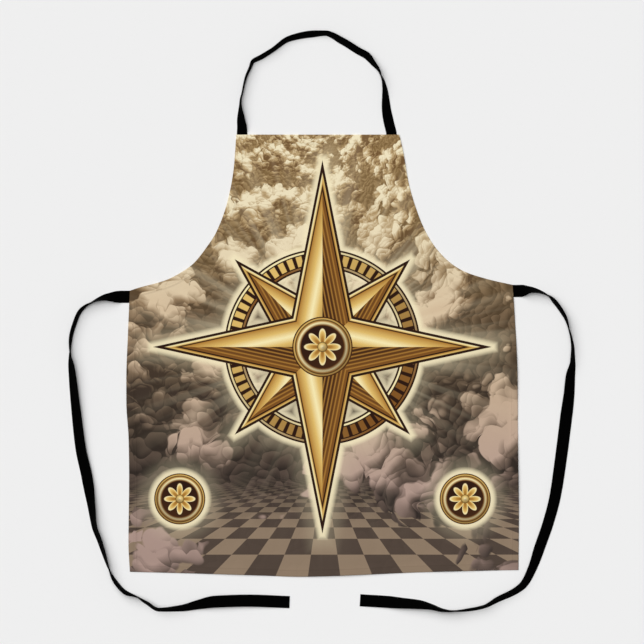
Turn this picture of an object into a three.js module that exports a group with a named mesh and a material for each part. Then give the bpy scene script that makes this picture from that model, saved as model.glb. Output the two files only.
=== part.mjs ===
// A bib apron of printed cloth, lying face up on a flat surface, with a webbing neck loop and two
// waist ties. Millimetres, +Z up, +Y towards the neck loop, underside on z = 0.
import * as THREE from "three";
import { mergeVertices } from "three/addons/utils/BufferGeometryUtils.js";

// The cloth panel, cut in one piece
const apronLength = 762; // bib edge to the lowest point of the hem
const bibWidth = 281; // top edge of the bib
const bibHeight = 264; // bib edge down to the waist corners
const waistWidth = 660; // between the waist corners, where the armholes end
const skirtWidth = 670; // between the hem's corners
const bibShift = -11; // the bib's middle lies this far to the right of the hem's middle
const waistShift = -5; // and the middle of the waist corners this far
const waistSkew = 10; // the right waist corner lies this much higher than the left one
const hemSag = 10; // the lowest point of the hem lies this much lower than its corners
const hemSkew = 3; // the right corner of the hem lies this much higher than the left one
const sideBow = 6; // how far the skirt's sides bow outwards
const clothThickness = 1;

// The turned hem, a thicker band along every edge
const hemWidth = 12;
const hemThickness = 2;
const hemStep = 2.5; // width of the slope from the hem down to the single cloth
const hemInset = hemWidth + hemStep;

// The webbing
const neckStrapWidth = 18;
const tieWidth = 21;
const webbingThickness = 1.2;
const sewnLength = 30; // how much of each strap lies behind the hem
const leftFootInset = 1; // from the bib's left corner to the selvedge of the neck strap
const rightFootInset = 4.5; // and from its right corner
const neckLoopRise = 173; // bib edge to the top of the neck loop's middle line
const tieReach = 103.5; // how far a waist tie's middle line swings out from the waist corner
const tieReturn = 270; // how far a free end lies in under the hem, from the waist corner
const tieBelowHem = 69; // how far the lowest run of a tie lies below the hem's corners

// Fits and waves
const strapClearance = 0.3; // between a sewn strap end and the cloth over it
const flatLead = 10; // a strap still lies flat for this far past the cloth's edge
const padMargin = 24; // the cloth stays level over a strap end for this far round it
const padFade = 34; // and comes down to the surface over this width
const waveHeight = 4; // highest wave in the cloth's edge
const waveFoot = 2; // a wave comes down to the surface this many half sizes from its middle

// Mesh steps
const fieldStep = 23; // size of a cell of the cloth between the hems
const armholeStep = 19; // length of a cell along the armholes
const webbingStep = 7; // length of a segment of webbing
const tangentReach = 2; // a track's direction is taken between points this far to either side

const printedCloth = { color: 0xb59f7c, roughness: 0.85, metalness: 0 };
const blackWebbing = { color: 0x0b0b0c, roughness: 0.9, metalness: 0 };

// Armhole edges from the bib's corner to the waist corner. down: share of the drop between the two
// corners. out: share of the way out from the one to the other.
const leftArmhole = [
  { down: 0, out: 0 },
  { down: 0.209, out: 0.023 },
  { down: 0.416, out: 0.078 },
  { down: 0.623, out: 0.187 },
  { down: 0.726, out: 0.284 },
  { down: 0.829, out: 0.408 },
  { down: 0.881, out: 0.514 },
  { down: 0.933, out: 0.664 },
  { down: 0.984, out: 0.929 },
  { down: 1, out: 1 },
];
const rightArmhole = [
  { down: 0, out: 0 },
  { down: 0.12, out: 0.036 },
  { down: 0.332, out: 0.086 },
  { down: 0.544, out: 0.173 },
  { down: 0.651, out: 0.236 },
  { down: 0.757, out: 0.325 },
  { down: 0.863, out: 0.467 },
  { down: 0.917, out: 0.592 },
  { down: 0.97, out: 0.82 },
  { down: 1, out: 1 },
];

// Skirt sides from the waist corner to the hem's corner. down: share of the side's length.
// bow: share of sideBow by which the edge stands out of the straight line between the corners.
const leftSide = [
  { down: 0, bow: 0 },
  { down: 0.15, bow: 0.53 },
  { down: 0.32, bow: 1 },
  { down: 0.4, bow: 0.98 },
  { down: 0.53, bow: 0.34 },
  { down: 0.66, bow: 0.2 },
  { down: 0.9, bow: 0.38 },
  { down: 1, bow: 0 },
];
const rightSide = [
  { down: 0, bow: 0 },
  { down: 0.12, bow: 0.43 },
  { down: 0.21, bow: 0.72 },
  { down: 0.33, bow: 0.86 },
  { down: 0.55, bow: 0.6 },
  { down: 0.84, bow: 0.37 },
  { down: 1, bow: 0 },
];

// The hem from its left corner to its right one. across: share of the hem's width. sag: share of
// hemSag by which it lies below the straight line between the corners.
const hemLine = [
  { across: 0, sag: 0 },
  { across: 0.21, sag: 0.45 },
  { across: 0.335, sag: 0.74 },
  { across: 0.436, sag: 1 },
  { across: 0.54, sag: 0.86 },
  { across: 0.66, sag: 0.54 },
  { across: 0.79, sag: 0.25 },
  { across: 1, sag: 0 },
];

// Low waves that hold the cloth's edge off the surface. across: -1 at the left edge of the skirt,
// 1 at the right. down: share of the skirt's length. wide, tall: half sizes at half height, in the
// same shares. height: share of waveHeight.
const edgeWaves = [
  { across: -1.02, down: 0.34, wide: 0.16, tall: 0.13, height: 1 },
  { across: -1.02, down: 0.86, wide: 0.12, tall: 0.07, height: 0.6 },
  { across: 1.02, down: 0.3, wide: 0.14, tall: 0.1, height: 0.7 },
  { across: 1.02, down: 0.66, wide: 0.17, tall: 0.11, height: 0.9 },
  { across: -0.45, down: 1.02, wide: 0.13, tall: 0.07, height: 0.55 },
  { across: 0.1, down: 1.02, wide: 0.17, tall: 0.09, height: 0.8 },
  { across: 0.66, down: 1.02, wide: 0.12, tall: 0.07, height: 0.6 },
];

// The neck loop, from its left foot to its right foot. across: -1 at the left foot, 1 at the right.
// rise: share of neckLoopRise above the bib's edge. lean: degrees that the webbing is turned on its
// run: 0 lies flat, at 90 it stands on its outer selvedge with the inner one on top, and past 90 the
// top leans outwards.
const neckLoop = [
  { across: -1.014, rise: 0.15, lean: 40 },
  { across: -1.025, rise: 0.33, lean: 84 },
  { across: -0.995, rise: 0.44, lean: 91 },
  { across: -0.951, rise: 0.57, lean: 97 },
  { across: -0.891, rise: 0.67, lean: 102 },
  { across: -0.858, rise: 0.727, lean: 108 },
  { across: -0.749, rise: 0.77, lean: 114 },
  { across: -0.597, rise: 0.84, lean: 112 },
  { across: -0.368, rise: 0.955, lean: 120 },
  { across: -0.088, rise: 1, lean: 128 },
  { across: 0.108, rise: 1.01, lean: 117 },
  { across: 0.341, rise: 0.932, lean: 129 },
  { across: 0.561, rise: 0.831, lean: 130 },
  { across: 0.668, rise: 0.787, lean: 131 },
  { across: 0.755, rise: 0.713, lean: 117 },
  { across: 0.838, rise: 0.635, lean: 99 },
  { across: 0.889, rise: 0.54, lean: 77 },
  { across: 0.916, rise: 0.43, lean: 58 },
  { across: 0.931, rise: 0.26, lean: 30 },
  { across: 0.965, rise: 0.12, lean: 10 },
];

// The waist ties, from the waist corner to the free end. out: share of tieReach outwards from the
// waist corner, or where it is negative, of tieReturn inwards. down: share of the drop from the
// waist corner to the tie's lowest run. lean: as on the neck loop. lift: share of tieWidth by which
// the webbing bridges clear of the surface.
const leftTie = [
  { out: 0.365, down: 0.02, lean: 52 },
  { out: 0.64, down: 0.036, lean: 88 },
  { out: 0.83, down: 0.065, lean: 106 },
  { out: 0.914, down: 0.1, lean: 106 },
  { out: 0.98, down: 0.145, lean: 104 },
  { out: 1, down: 0.189, lean: 88 },
  { out: 0.97, down: 0.238, lean: 58 },
  { out: 0.904, down: 0.355, lean: 40 },
  { out: 0.816, down: 0.492, lean: 28 },
  { out: 0.714, down: 0.579, lean: 23 },
  { out: 0.641, down: 0.666, lean: 48 },
  { out: 0.591, down: 0.732, lean: 63 },
  { out: 0.498, down: 0.78, lean: 66 },
  { out: 0.395, down: 0.84, lean: 76 },
  { out: 0.341, down: 0.872, lean: 89 },
  { out: 0.233, down: 0.908, lean: 106 },
  { out: 0.07, down: 0.94, lean: 107 },
  { out: -0.035, down: 0.952, lean: 92 },
  { out: -0.105, down: 0.971, lean: 74 },
  { out: -0.187, down: 0.993, lean: 72, lift: 0.05 },
  { out: -0.332, down: 0.988, lean: 57, lift: 0.12 },
  { out: -0.447, down: 0.976, lean: 36, lift: 0.25 },
  { out: -0.543, down: 0.968, lean: 10, lift: 0.4 },
  { out: -0.75, down: 0.965, lean: 2, lift: 0.3 },
  { out: -1.02, down: 0.97, lean: 0, lift: 0 },
];
const rightTie = [
  { out: 0.284, down: 0.015, lean: 57 },
  { out: 0.576, down: 0.03, lean: 88 },
  { out: 0.7, down: 0.052, lean: 108 },
  { out: 0.815, down: 0.081, lean: 106 },
  { out: 0.888, down: 0.105, lean: 100 },
  { out: 0.927, down: 0.126, lean: 91 },
  { out: 0.983, down: 0.169, lean: 80 },
  { out: 1, down: 0.199, lean: 73 },
  { out: 0.998, down: 0.236, lean: 64 },
  { out: 0.96, down: 0.28, lean: 39 },
  { out: 0.937, down: 0.336, lean: 26 },
  { out: 0.89, down: 0.407, lean: 6 },
  { out: 0.8, down: 0.537, lean: 9 },
  { out: 0.705, down: 0.651, lean: 20 },
  { out: 0.593, down: 0.73, lean: 24 },
  { out: 0.446, down: 0.808, lean: 27 },
  { out: 0.334, down: 0.867, lean: 41 },
  { out: 0.184, down: 0.92, lean: 50 },
  { out: 0.033, down: 0.942, lean: 56 },
  { out: -0.096, down: 0.967, lean: 62 },
  { out: -0.182, down: 0.989, lean: 73 },
  { out: -0.268, down: 0.998, lean: 75 },
  { out: -0.386, down: 1.004, lean: 90 },
  { out: -0.452, down: 1, lean: 103 },
  { out: -0.52, down: 0.99, lean: 116 },
  { out: -0.594, down: 0.983, lean: 135 },
  { out: -0.722, down: 0.978, lean: 153 },
  { out: -0.8, down: 0.975, lean: 172 },
  { out: -0.975, down: 0.97, lean: 180 },
];

// Corners of the panel; left is -X, and y runs down from the bib's edge at 0
const hemY = -(apronLength - hemSag);
const left = {
  toCentre: 1,
  bib: new THREE.Vector2(bibShift - bibWidth / 2, 0),
  waist: new THREE.Vector2(waistShift - waistWidth / 2, -(bibHeight + waistSkew / 2)),
  hem: new THREE.Vector2(-skirtWidth / 2, hemY - hemSkew / 2),
};
const right = {
  toCentre: -1,
  bib: new THREE.Vector2(bibShift + bibWidth / 2, 0),
  waist: new THREE.Vector2(waistShift + waistWidth / 2, -(bibHeight - waistSkew / 2)),
  hem: new THREE.Vector2(skirtWidth / 2, hemY + hemSkew / 2),
};

// Middle lines of the neck strap's two feet, where they come out from behind the bib
const leftFootX = left.bib.x + leftFootInset + neckStrapWidth / 2;
const rightFootX = right.bib.x - rightFootInset - neckStrapWidth / 2;

const { clamp, degToRad, lerp, smoothstep } = THREE.MathUtils;

// A smooth track through stations, each an array [x, y, ...]. Every column is a monotone cubic of
// the distance along the stations' x and y, so it never swings past a station.
function smoothTrack(stations) {
  const marks = [0];
  for (let i = 1; i < stations.length; i++) {
    const [x, y] = stations[i];
    const [lastX, lastY] = stations[i - 1];
    marks.push(marks[i - 1] + Math.hypot(x - lastX, y - lastY));
  }
  const last = stations.length - 1;
  const steepness = (i, k) => (stations[i + 1][k] - stations[i][k]) / (marks[i + 1] - marks[i]);
  const slope = (i, k) => {
    if (i === 0) return steepness(0, k);
    if (i === last) return steepness(last - 1, k);
    const before = steepness(i - 1, k);
    const after = steepness(i, k);
    return before * after <= 0 ? 0 : (2 * before * after) / (before + after);
  };
  const at = (distance) => {
    let i = 0;
    while (i < last - 1 && distance > marks[i + 1]) i++;
    const span = marks[i + 1] - marks[i];
    const s = clamp((distance - marks[i]) / span, 0, 1);
    const towardsNext = s * s * (3 - 2 * s);
    const leaving = s * (1 - s) ** 2 * span;
    const arriving = -s * s * (1 - s) * span;
    return stations[i].map(
      (value, k) =>
        lerp(value, stations[i + 1][k], towardsNext) + leaving * slope(i, k) + arriving * slope(i + 1, k),
    );
  };
  return { length: marks[last], at };
}

// How many cells of about the given size fill a length.
function cellCount(length, size) {
  return Math.max(1, Math.round(length / size));
}

// Unit vector along a track at a distance along it.
function runAt(track, distance) {
  const [fromX, fromY] = track.at(Math.max(distance - tangentReach, 0));
  const [toX, toY] = track.at(Math.min(distance + tangentReach, track.length));
  return new THREE.Vector2(toX - fromX, toY - fromY).normalize();
}

// The outline of one side of the panel: an armhole track and a skirt track that meet at the waist.
function sideOutline(side, armhole, skirt) {
  const outwards = -side.toCentre;
  const armholeTrack = smoothTrack(
    armhole.map(({ down, out }) => [
      lerp(side.bib.x, side.waist.x, out),
      lerp(side.bib.y, side.waist.y, down),
    ]),
  );
  const skirtTrack = smoothTrack(
    skirt.map(({ down, bow }) => [
      lerp(side.waist.x, side.hem.x, down) + outwards * bow * sideBow,
      lerp(side.waist.y, side.hem.y, down),
    ]),
  );
  return { side, armholeTrack, skirtTrack };
}

// Inward normal of a track at a distance along it.
function inwardNormal(track, distance, toCentre) {
  const run = runAt(track, distance);
  return new THREE.Vector2(-run.y, run.x).multiplyScalar(toCentre);
}

// Rows of one side of the panel from the bib's edge to the hem: each holds the outline's point and
// the inward vector by which the hem's inner edge is offset, per millimetre of hem.
function sideRows({ side, armholeTrack, skirtTrack }, armholeSteps, skirtSteps) {
  const rows = [];
  const addRow = (track, distance, inward) => {
    rows.push({ point: new THREE.Vector2(...track.at(distance)), inward });
  };
  const squareIn = new THREE.Vector2(side.toCentre, 0);
  addRow(armholeTrack, 0, squareIn);
  addRow(armholeTrack, hemWidth, inwardNormal(armholeTrack, hemWidth, side.toCentre));
  addRow(armholeTrack, hemInset, inwardNormal(armholeTrack, hemInset, side.toCentre));
  for (let i = 1; i < armholeSteps; i++) {
    const distance = lerp(hemInset, armholeTrack.length, i / armholeSteps);
    addRow(armholeTrack, distance, inwardNormal(armholeTrack, distance, side.toCentre));
  }
  const above = inwardNormal(armholeTrack, armholeTrack.length, side.toCentre);
  const below = inwardNormal(skirtTrack, 0, side.toCentre);
  addRow(skirtTrack, 0, above.clone().add(below).divideScalar(1 + above.dot(below)));
  for (let i = 1; i <= skirtSteps; i++) {
    const distance = lerp(0, skirtTrack.length - hemInset, i / skirtSteps);
    addRow(skirtTrack, distance, inwardNormal(skirtTrack, distance, side.toCentre));
  }
  addRow(skirtTrack, skirtTrack.length - hemWidth, squareIn);
  addRow(skirtTrack, skirtTrack.length, squareIn);
  return rows;
}

// Where the sewn end of each strap lies behind the panel: the middle and half size of its rectangle.
const sewnEnds = [];
for (const x of [leftFootX, rightFootX]) {
  sewnEnds.push({ x, y: -sewnLength / 2, halfX: neckStrapWidth / 2, halfY: sewnLength / 2 });
}
for (const side of [left, right]) {
  sewnEnds.push({
    x: side.waist.x + (side.toCentre * sewnLength) / 2,
    y: side.waist.y - tieWidth / 2,
    halfX: sewnLength / 2,
    halfY: tieWidth / 2,
  });
}

// Height of the cloth's underside above the surface: it rides over the sewn strap ends and lifts in
// the edge waves, and lies on the surface everywhere else.
function underside(x, y) {
  let height = 0;
  for (const end of sewnEnds) {
    const outside = Math.hypot(
      Math.max(Math.abs(x - end.x) - end.halfX, 0),
      Math.max(Math.abs(y - end.y) - end.halfY, 0),
    );
    const padShare = 1 - smoothstep(outside, padMargin, padMargin + padFade);
    height = Math.max(height, (webbingThickness + strapClearance) * padShare);
  }
  const across = x / (skirtWidth / 2);
  const down = (-y - bibHeight) / (apronLength - bibHeight);
  for (const wave of edgeWaves) {
    const away = Math.hypot((across - wave.across) / wave.wide, (down - wave.down) / wave.tall);
    height += waveHeight * wave.height * (1 - smoothstep(away, 0, waveFoot));
  }
  return height;
}

// Offsets of the hem's columns and rows of vertices from the edge: the hem, and the slope inside it.
const hemOffsets = [0, hemWidth, hemInset];
const hemCells = hemOffsets.length - 1;

// The panel is a box of one layer of cells, whose vertices are carried to the cloth's two faces.
function panelGeometry() {
  const outlines = [sideOutline(left, leftArmhole, leftSide), sideOutline(right, rightArmhole, rightSide)];
  const armholeSteps = cellCount(outlines[0].armholeTrack.length - hemInset, armholeStep);
  const skirtSteps = cellCount(outlines[0].skirtTrack.length - hemInset, fieldStep);
  const [leftRows, rightRows] = outlines.map((outline) => sideRows(outline, armholeSteps, skirtSteps));
  const fieldColumns = cellCount(skirtWidth - 2 * hemInset, fieldStep);
  const downCount = leftRows.length - 1;
  const acrossCount = fieldColumns + 2 * hemCells;
  const waistRow = hemCells + armholeSteps;
  const hemTrack = smoothTrack(hemLine.map(({ across, sag }) => [across * skirtWidth, sag * hemSag]));

  // Point of column i on row j: the hem's columns at either end, and even cells between them
  const pointAt = (i, j) => {
    const start = leftRows[j];
    const end = rightRows[j];
    const fromEnd = acrossCount - i;
    if (i <= hemCells) return start.point.clone().addScaledVector(start.inward, hemOffsets[i]);
    if (fromEnd <= hemCells) return end.point.clone().addScaledVector(end.inward, hemOffsets[fromEnd]);
    const first = start.point.clone().addScaledVector(start.inward, hemInset);
    const last = end.point.clone().addScaledVector(end.inward, hemInset);
    return first.lerp(last, (i - hemCells) / fieldColumns);
  };
  const geometry = new THREE.BoxGeometry(1, 1, 1, acrossCount, downCount, 1);
  const position = geometry.getAttribute("position");
  for (let n = 0; n < position.count; n++) {
    const i = Math.round((position.getX(n) + 0.5) * acrossCount);
    const j = Math.round((0.5 - position.getY(n)) * downCount);
    const point = pointAt(i, j);
    const alongRow = (point.x - leftRows[j].point.x) / (rightRows[j].point.x - leftRows[j].point.x);
    const belowWaist = smoothstep(j, waistRow, downCount);
    point.y -= belowWaist * hemTrack.at(clamp(alongRow, 0, 1) * hemTrack.length)[1];
    const fromEdge = Math.min(i, acrossCount - i, j, downCount - j);
    const wall = fromEdge < hemCells ? hemThickness : clothThickness;
    const base = underside(point.x, point.y);
    position.setXYZ(n, point.x, point.y, position.getZ(n) > 0 ? base + wall : base);
  }
  return closedBody(geometry);
}

// Merges a shaped box's doubled vertices and gives it new normals.
function closedBody(geometry) {
  geometry.deleteAttribute("uv");
  geometry.deleteAttribute("normal");
  const merged = mergeVertices(geometry, 1e-4);
  merged.computeVertexNormals();
  return merged;
}

// Distances along a strap at which it has a section, even within its flat start, its turning run
// and its flat end; the flat end of a free end is 0 long.
function sectionDistances(length, flatStart, flatEnd) {
  const distances = [0];
  const stretches = [
    [0, flatStart],
    [flatStart, length - flatEnd],
    [length - flatEnd, length],
  ];
  for (const [from, to] of stretches.filter(([start, end]) => end > start)) {
    const count = cellCount(to - from, webbingStep);
    for (let i = 1; i <= count; i++) distances.push(lerp(from, to, i / count));
  }
  return distances;
}

// A strap is a box of one row of segments, carried along its stations [x, y, lean, lift]. The side
// that faces the inside of its bend is inner: 1 to the left of the run and -1 to the right.
function strapGeometry({ stations, width, inner, flatStart, flatEnd }) {
  const track = smoothTrack(stations);
  const distances = sectionDistances(track.length, flatStart, flatEnd);
  const segments = distances.length - 1;
  const geometry = new THREE.BoxGeometry(1, 1, 1, segments, 1, 1);
  const position = geometry.getAttribute("position");
  for (let n = 0; n < position.count; n++) {
    const distance = distances[Math.round((position.getX(n) + 0.5) * segments)];
    const [x, y, lean, lift] = track.at(distance);
    const run = runAt(track, distance);
    const inwards = new THREE.Vector3(-run.y, run.x, 0).multiplyScalar(inner);
    const turn = degToRad(lean);
    const across = inwards.clone().multiplyScalar(Math.cos(turn)).setZ(Math.sin(turn));
    const facing = inwards.clone().multiplyScalar(-Math.sin(turn)).setZ(Math.cos(turn));
    const height = (width * Math.abs(Math.sin(turn)) + webbingThickness * Math.abs(Math.cos(turn))) / 2;
    const point = new THREE.Vector3(x, y, height + lift)
      .addScaledVector(across, position.getY(n) * width * inner)
      .addScaledVector(facing, position.getZ(n) * webbingThickness);
    position.setXYZ(n, point.x, point.y, point.z);
  }
  return closedBody(geometry);
}

// The neck strap, with a sewn end behind the bib at either foot.
function neckStrap() {
  const footMiddle = (leftFootX + rightFootX) / 2;
  const footReach = (rightFootX - leftFootX) / 2;
  const stations = [
    [leftFootX, -sewnLength, 0, 0],
    [leftFootX, flatLead, 0, 0],
  ];
  for (const { across, rise, lean } of neckLoop) {
    stations.push([footMiddle + across * footReach, rise * neckLoopRise, lean, 0]);
  }
  stations.push([rightFootX, flatLead, 0, 0], [rightFootX, -sewnLength, 0, 0]);
  const flat = sewnLength + flatLead;
  return strapGeometry({ stations, width: neckStrapWidth, inner: -1, flatStart: flat, flatEnd: flat });
}

// A waist tie, from its sewn end behind the hem to its free end.
function waistTie(side, rows) {
  const drop = side.waist.y - side.hem.y + tieBelowHem;
  const outwards = -side.toCentre;
  const sewnY = side.waist.y - tieWidth / 2;
  const stations = [
    [side.waist.x - outwards * sewnLength, sewnY, 0, 0],
    [side.waist.x + outwards * flatLead, sewnY, 0, 0],
  ];
  for (const { out, down, lean, lift = 0 } of rows) {
    const sideways = out * (out > 0 ? tieReach : tieReturn);
    stations.push([side.waist.x + outwards * sideways, side.waist.y - down * drop, lean, lift * tieWidth]);
  }
  const flat = sewnLength + flatLead;
  return strapGeometry({ stations, width: tieWidth, inner: side.toCentre, flatStart: flat, flatEnd: 0 });
}

function pieceMesh(name, geometry, finish) {
  const mesh = new THREE.Mesh(geometry, new THREE.MeshStandardMaterial(finish));
  mesh.name = name;
  return mesh;
}

const laidOut = new THREE.Group();
laidOut.add(
  pieceMesh("panel", panelGeometry(), printedCloth),
  pieceMesh("neck_strap", neckStrap(), blackWebbing),
  pieceMesh("waist_tie_left", waistTie(left, leftTie), blackWebbing),
  pieceMesh("waist_tie_right", waistTie(right, rightTie), blackWebbing),
);

// The origin is under the middle of the whole apron's box
const wholeBox = new THREE.Box3().setFromObject(laidOut);
const boxMiddle = wholeBox.getCenter(new THREE.Vector3());
laidOut.position.set(-boxMiddle.x, -boxMiddle.y, 0);

const apron = new THREE.Group();
apron.add(laidOut);

export default apron;
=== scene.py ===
"""A bib apron of printed cloth with black webbing, laid face up on a pale floor.

Tables and named sizes are in millimetres or in shares of a named size. Meshes, lights and the
camera are in metres, in the part's own frame: X to the right, Y towards the neck loop, Z up.
"""

import logging
import math
from dataclasses import dataclass
from enum import Enum
from typing import NamedTuple, Sequence

import bpy
import numpy as np
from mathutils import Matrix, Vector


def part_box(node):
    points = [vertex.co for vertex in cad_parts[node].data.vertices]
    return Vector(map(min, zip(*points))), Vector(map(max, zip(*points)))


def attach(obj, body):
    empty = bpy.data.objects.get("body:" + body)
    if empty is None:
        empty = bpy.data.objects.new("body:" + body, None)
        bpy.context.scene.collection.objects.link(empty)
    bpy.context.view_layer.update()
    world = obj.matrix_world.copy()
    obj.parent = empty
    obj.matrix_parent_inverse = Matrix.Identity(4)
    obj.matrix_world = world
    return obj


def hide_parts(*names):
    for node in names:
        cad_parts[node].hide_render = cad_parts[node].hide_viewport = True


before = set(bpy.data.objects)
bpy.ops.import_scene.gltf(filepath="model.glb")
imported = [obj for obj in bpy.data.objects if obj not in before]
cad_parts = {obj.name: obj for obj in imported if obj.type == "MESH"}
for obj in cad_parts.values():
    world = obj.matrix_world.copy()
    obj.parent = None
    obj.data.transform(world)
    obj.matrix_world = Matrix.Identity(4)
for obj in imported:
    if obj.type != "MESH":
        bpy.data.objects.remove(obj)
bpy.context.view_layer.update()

log = logging.getLogger("apron")

Tree = bpy.types.NodeTree
Socket = bpy.types.NodeSocket
Material = bpy.types.Material

MM = 0.001
BODY = "root"

# Settings of the nodes that ease a value in and out, and of those that mix two colours
EASED = {"interpolation_type": "SMOOTHSTEP"}
COLOURS = {"data_type": "RGBA"}


# Tables of the outline and of the webbing's run


class ArmholeRow(NamedTuple):
    """A point of an armhole's edge, in shares of the drop and of the way out."""

    down: float
    out: float


class BowRow(NamedTuple):
    """How far a side of the skirt stands out, at a share of its length."""

    down: float
    bow: float


class SagRow(NamedTuple):
    """How far the hem hangs below its corners, at a share of its width."""

    across: float
    sag: float


class WaveRow(NamedTuple):
    """A low wave of the cloth: its middle and half sizes in shares of the skirt, and its height."""

    across: float
    down: float
    wide: float
    tall: float
    height: float


class LoopRow(NamedTuple):
    """A station of the neck loop: place in shares, and lean in degrees."""

    across: float
    rise: float
    lean: float


class TieRow(NamedTuple):
    """A station of a waist tie: place in shares, lean in degrees, and lift in tie widths."""

    out: float
    down: float
    lean: float
    lift: float = 0.0


LEFT_ARMHOLE = [
    ArmholeRow(*row)
    for row in (
        (0, 0), (0.209, 0.023), (0.416, 0.078), (0.623, 0.187), (0.726, 0.284),
        (0.829, 0.408), (0.881, 0.514), (0.933, 0.664), (0.984, 0.929), (1, 1),
    )
]
RIGHT_ARMHOLE = [
    ArmholeRow(*row)
    for row in (
        (0, 0), (0.12, 0.036), (0.332, 0.086), (0.544, 0.173), (0.651, 0.236),
        (0.757, 0.325), (0.863, 0.467), (0.917, 0.592), (0.97, 0.82), (1, 1),
    )
]
LEFT_SIDE = [
    BowRow(*row)
    for row in (
        (0, 0), (0.15, 0.53), (0.32, 1), (0.4, 0.98),
        (0.53, 0.34), (0.66, 0.2), (0.9, 0.38), (1, 0),
    )
]
RIGHT_SIDE = [
    BowRow(*row)
    for row in (
        (0, 0), (0.12, 0.43), (0.21, 0.72), (0.33, 0.86), (0.55, 0.6), (0.84, 0.37), (1, 0),
    )
]
HEM_LINE = [
    SagRow(*row)
    for row in (
        (0, 0), (0.21, 0.45), (0.335, 0.74), (0.436, 1),
        (0.54, 0.86), (0.66, 0.54), (0.79, 0.25), (1, 0),
    )
]
EDGE_WAVES = [
    WaveRow(*row)
    for row in (
        (-1.02, 0.34, 0.16, 0.13, 1),
        (-1.02, 0.86, 0.12, 0.07, 0.6),
        (1.02, 0.3, 0.14, 0.1, 0.7),
        (1.02, 0.66, 0.17, 0.11, 0.9),
        (-0.45, 1.02, 0.13, 0.07, 0.55),
        (0.1, 1.02, 0.17, 0.09, 0.8),
        (0.66, 1.02, 0.12, 0.07, 0.6),
    )
]
NECK_LOOP = [
    LoopRow(*row)
    for row in (
        (-1.014, 0.15, 40), (-1.025, 0.33, 84), (-0.995, 0.44, 91), (-0.951, 0.57, 97),
        (-0.891, 0.67, 102), (-0.858, 0.727, 108), (-0.749, 0.77, 114), (-0.597, 0.84, 112),
        (-0.368, 0.955, 120), (-0.088, 1, 128), (0.108, 1.01, 117), (0.341, 0.932, 129),
        (0.561, 0.831, 130), (0.668, 0.787, 131), (0.755, 0.713, 117), (0.838, 0.635, 99),
        (0.889, 0.54, 77), (0.916, 0.43, 58), (0.931, 0.26, 30), (0.965, 0.12, 10),
    )
]
LEFT_TIE = [
    TieRow(*row)
    for row in (
        (0.365, 0.02, 52), (0.64, 0.036, 88), (0.83, 0.065, 106), (0.914, 0.1, 106),
        (0.98, 0.145, 104), (1, 0.189, 88), (0.97, 0.238, 58), (0.904, 0.355, 40),
        (0.816, 0.492, 28), (0.714, 0.579, 23), (0.641, 0.666, 48), (0.591, 0.732, 63),
        (0.498, 0.78, 66), (0.395, 0.84, 76), (0.341, 0.872, 89), (0.233, 0.908, 106),
        (0.07, 0.94, 107), (-0.035, 0.952, 92), (-0.105, 0.971, 74), (-0.187, 0.993, 72, 0.05),
        (-0.332, 0.988, 57, 0.12), (-0.447, 0.976, 36, 0.25), (-0.543, 0.968, 10, 0.4),
        (-0.75, 0.965, 2, 0.3), (-1.02, 0.97, 0),
    )
]
RIGHT_TIE = [
    TieRow(*row)
    for row in (
        (0.284, 0.015, 57), (0.576, 0.03, 88), (0.7, 0.052, 108), (0.815, 0.081, 106),
        (0.888, 0.105, 100), (0.927, 0.126, 91), (0.983, 0.169, 80), (1, 0.199, 73),
        (0.998, 0.236, 64), (0.96, 0.28, 39), (0.937, 0.336, 26), (0.89, 0.407, 6),
        (0.8, 0.537, 9), (0.705, 0.651, 20), (0.593, 0.73, 24), (0.446, 0.808, 27),
        (0.334, 0.867, 41), (0.184, 0.92, 50), (0.033, 0.942, 56), (-0.096, 0.967, 62),
        (-0.182, 0.989, 73), (-0.268, 0.998, 75), (-0.386, 1.004, 90), (-0.452, 1, 103),
        (-0.52, 0.99, 116), (-0.594, 0.983, 135), (-0.722, 0.978, 153), (-0.8, 0.975, 172),
        (-0.975, 0.97, 180),
    )
]


# Small tools


def srgb(hex_colour: str) -> tuple[float, float, float, float]:
    """Turns an sRGB hex colour into linear red, green, blue and alpha 1.

    Each channel is c / 12.92 below 0.04045, and ((c + 0.055) / 1.055) ** 2.4 above it.

    Args:
        hex_colour: the colour as six hex digits after a #.

    Returns:
        The linear colour.
    """
    channels = np.array([int(hex_colour[i : i + 2], 16) for i in (1, 3, 5)]) / 255
    linear = np.where(channels <= 0.04045, channels / 12.92, ((channels + 0.055) / 1.055) ** 2.4)
    return (*linear.tolist(), 1.0)


def smoothstep(value: np.ndarray, low: float, high: float) -> np.ndarray:
    """Rises from 0 at low to 1 at high as 3 s^2 - 2 s^3.

    Args:
        value: where to take it.
        low: where it starts.
        high: where it ends.

    Returns:
        The shares from 0 to 1.
    """
    s = np.clip((np.asarray(value, float) - low) / (high - low), 0, 1)
    return s * s * (3 - 2 * s)


def even_places(start: float, stop: float, step: float) -> np.ndarray:
    """Evenly spaced places from start to stop, both taken, about a step apart.

    Args:
        start: the first place.
        stop: the last place.
        step: the spacing aimed at.

    Returns:
        The places.
    """
    return np.linspace(start, stop, max(1, round((stop - start) / step)) + 1)


def quads(numbers: np.ndarray) -> np.ndarray:
    """Faces of grids of vertices.

    Args:
        numbers: vertex numbers, whose last two axes are a grid's rows and columns.

    Returns:
        Rows of four vertex numbers: down a column, across, up and back.
    """
    down, up = numbers[..., 1:, :], numbers[..., :-1, :]
    corners = (up[..., :-1], down[..., :-1], down[..., 1:], up[..., 1:])
    return np.stack(corners, axis=-1).reshape(-1, 4)


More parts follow.
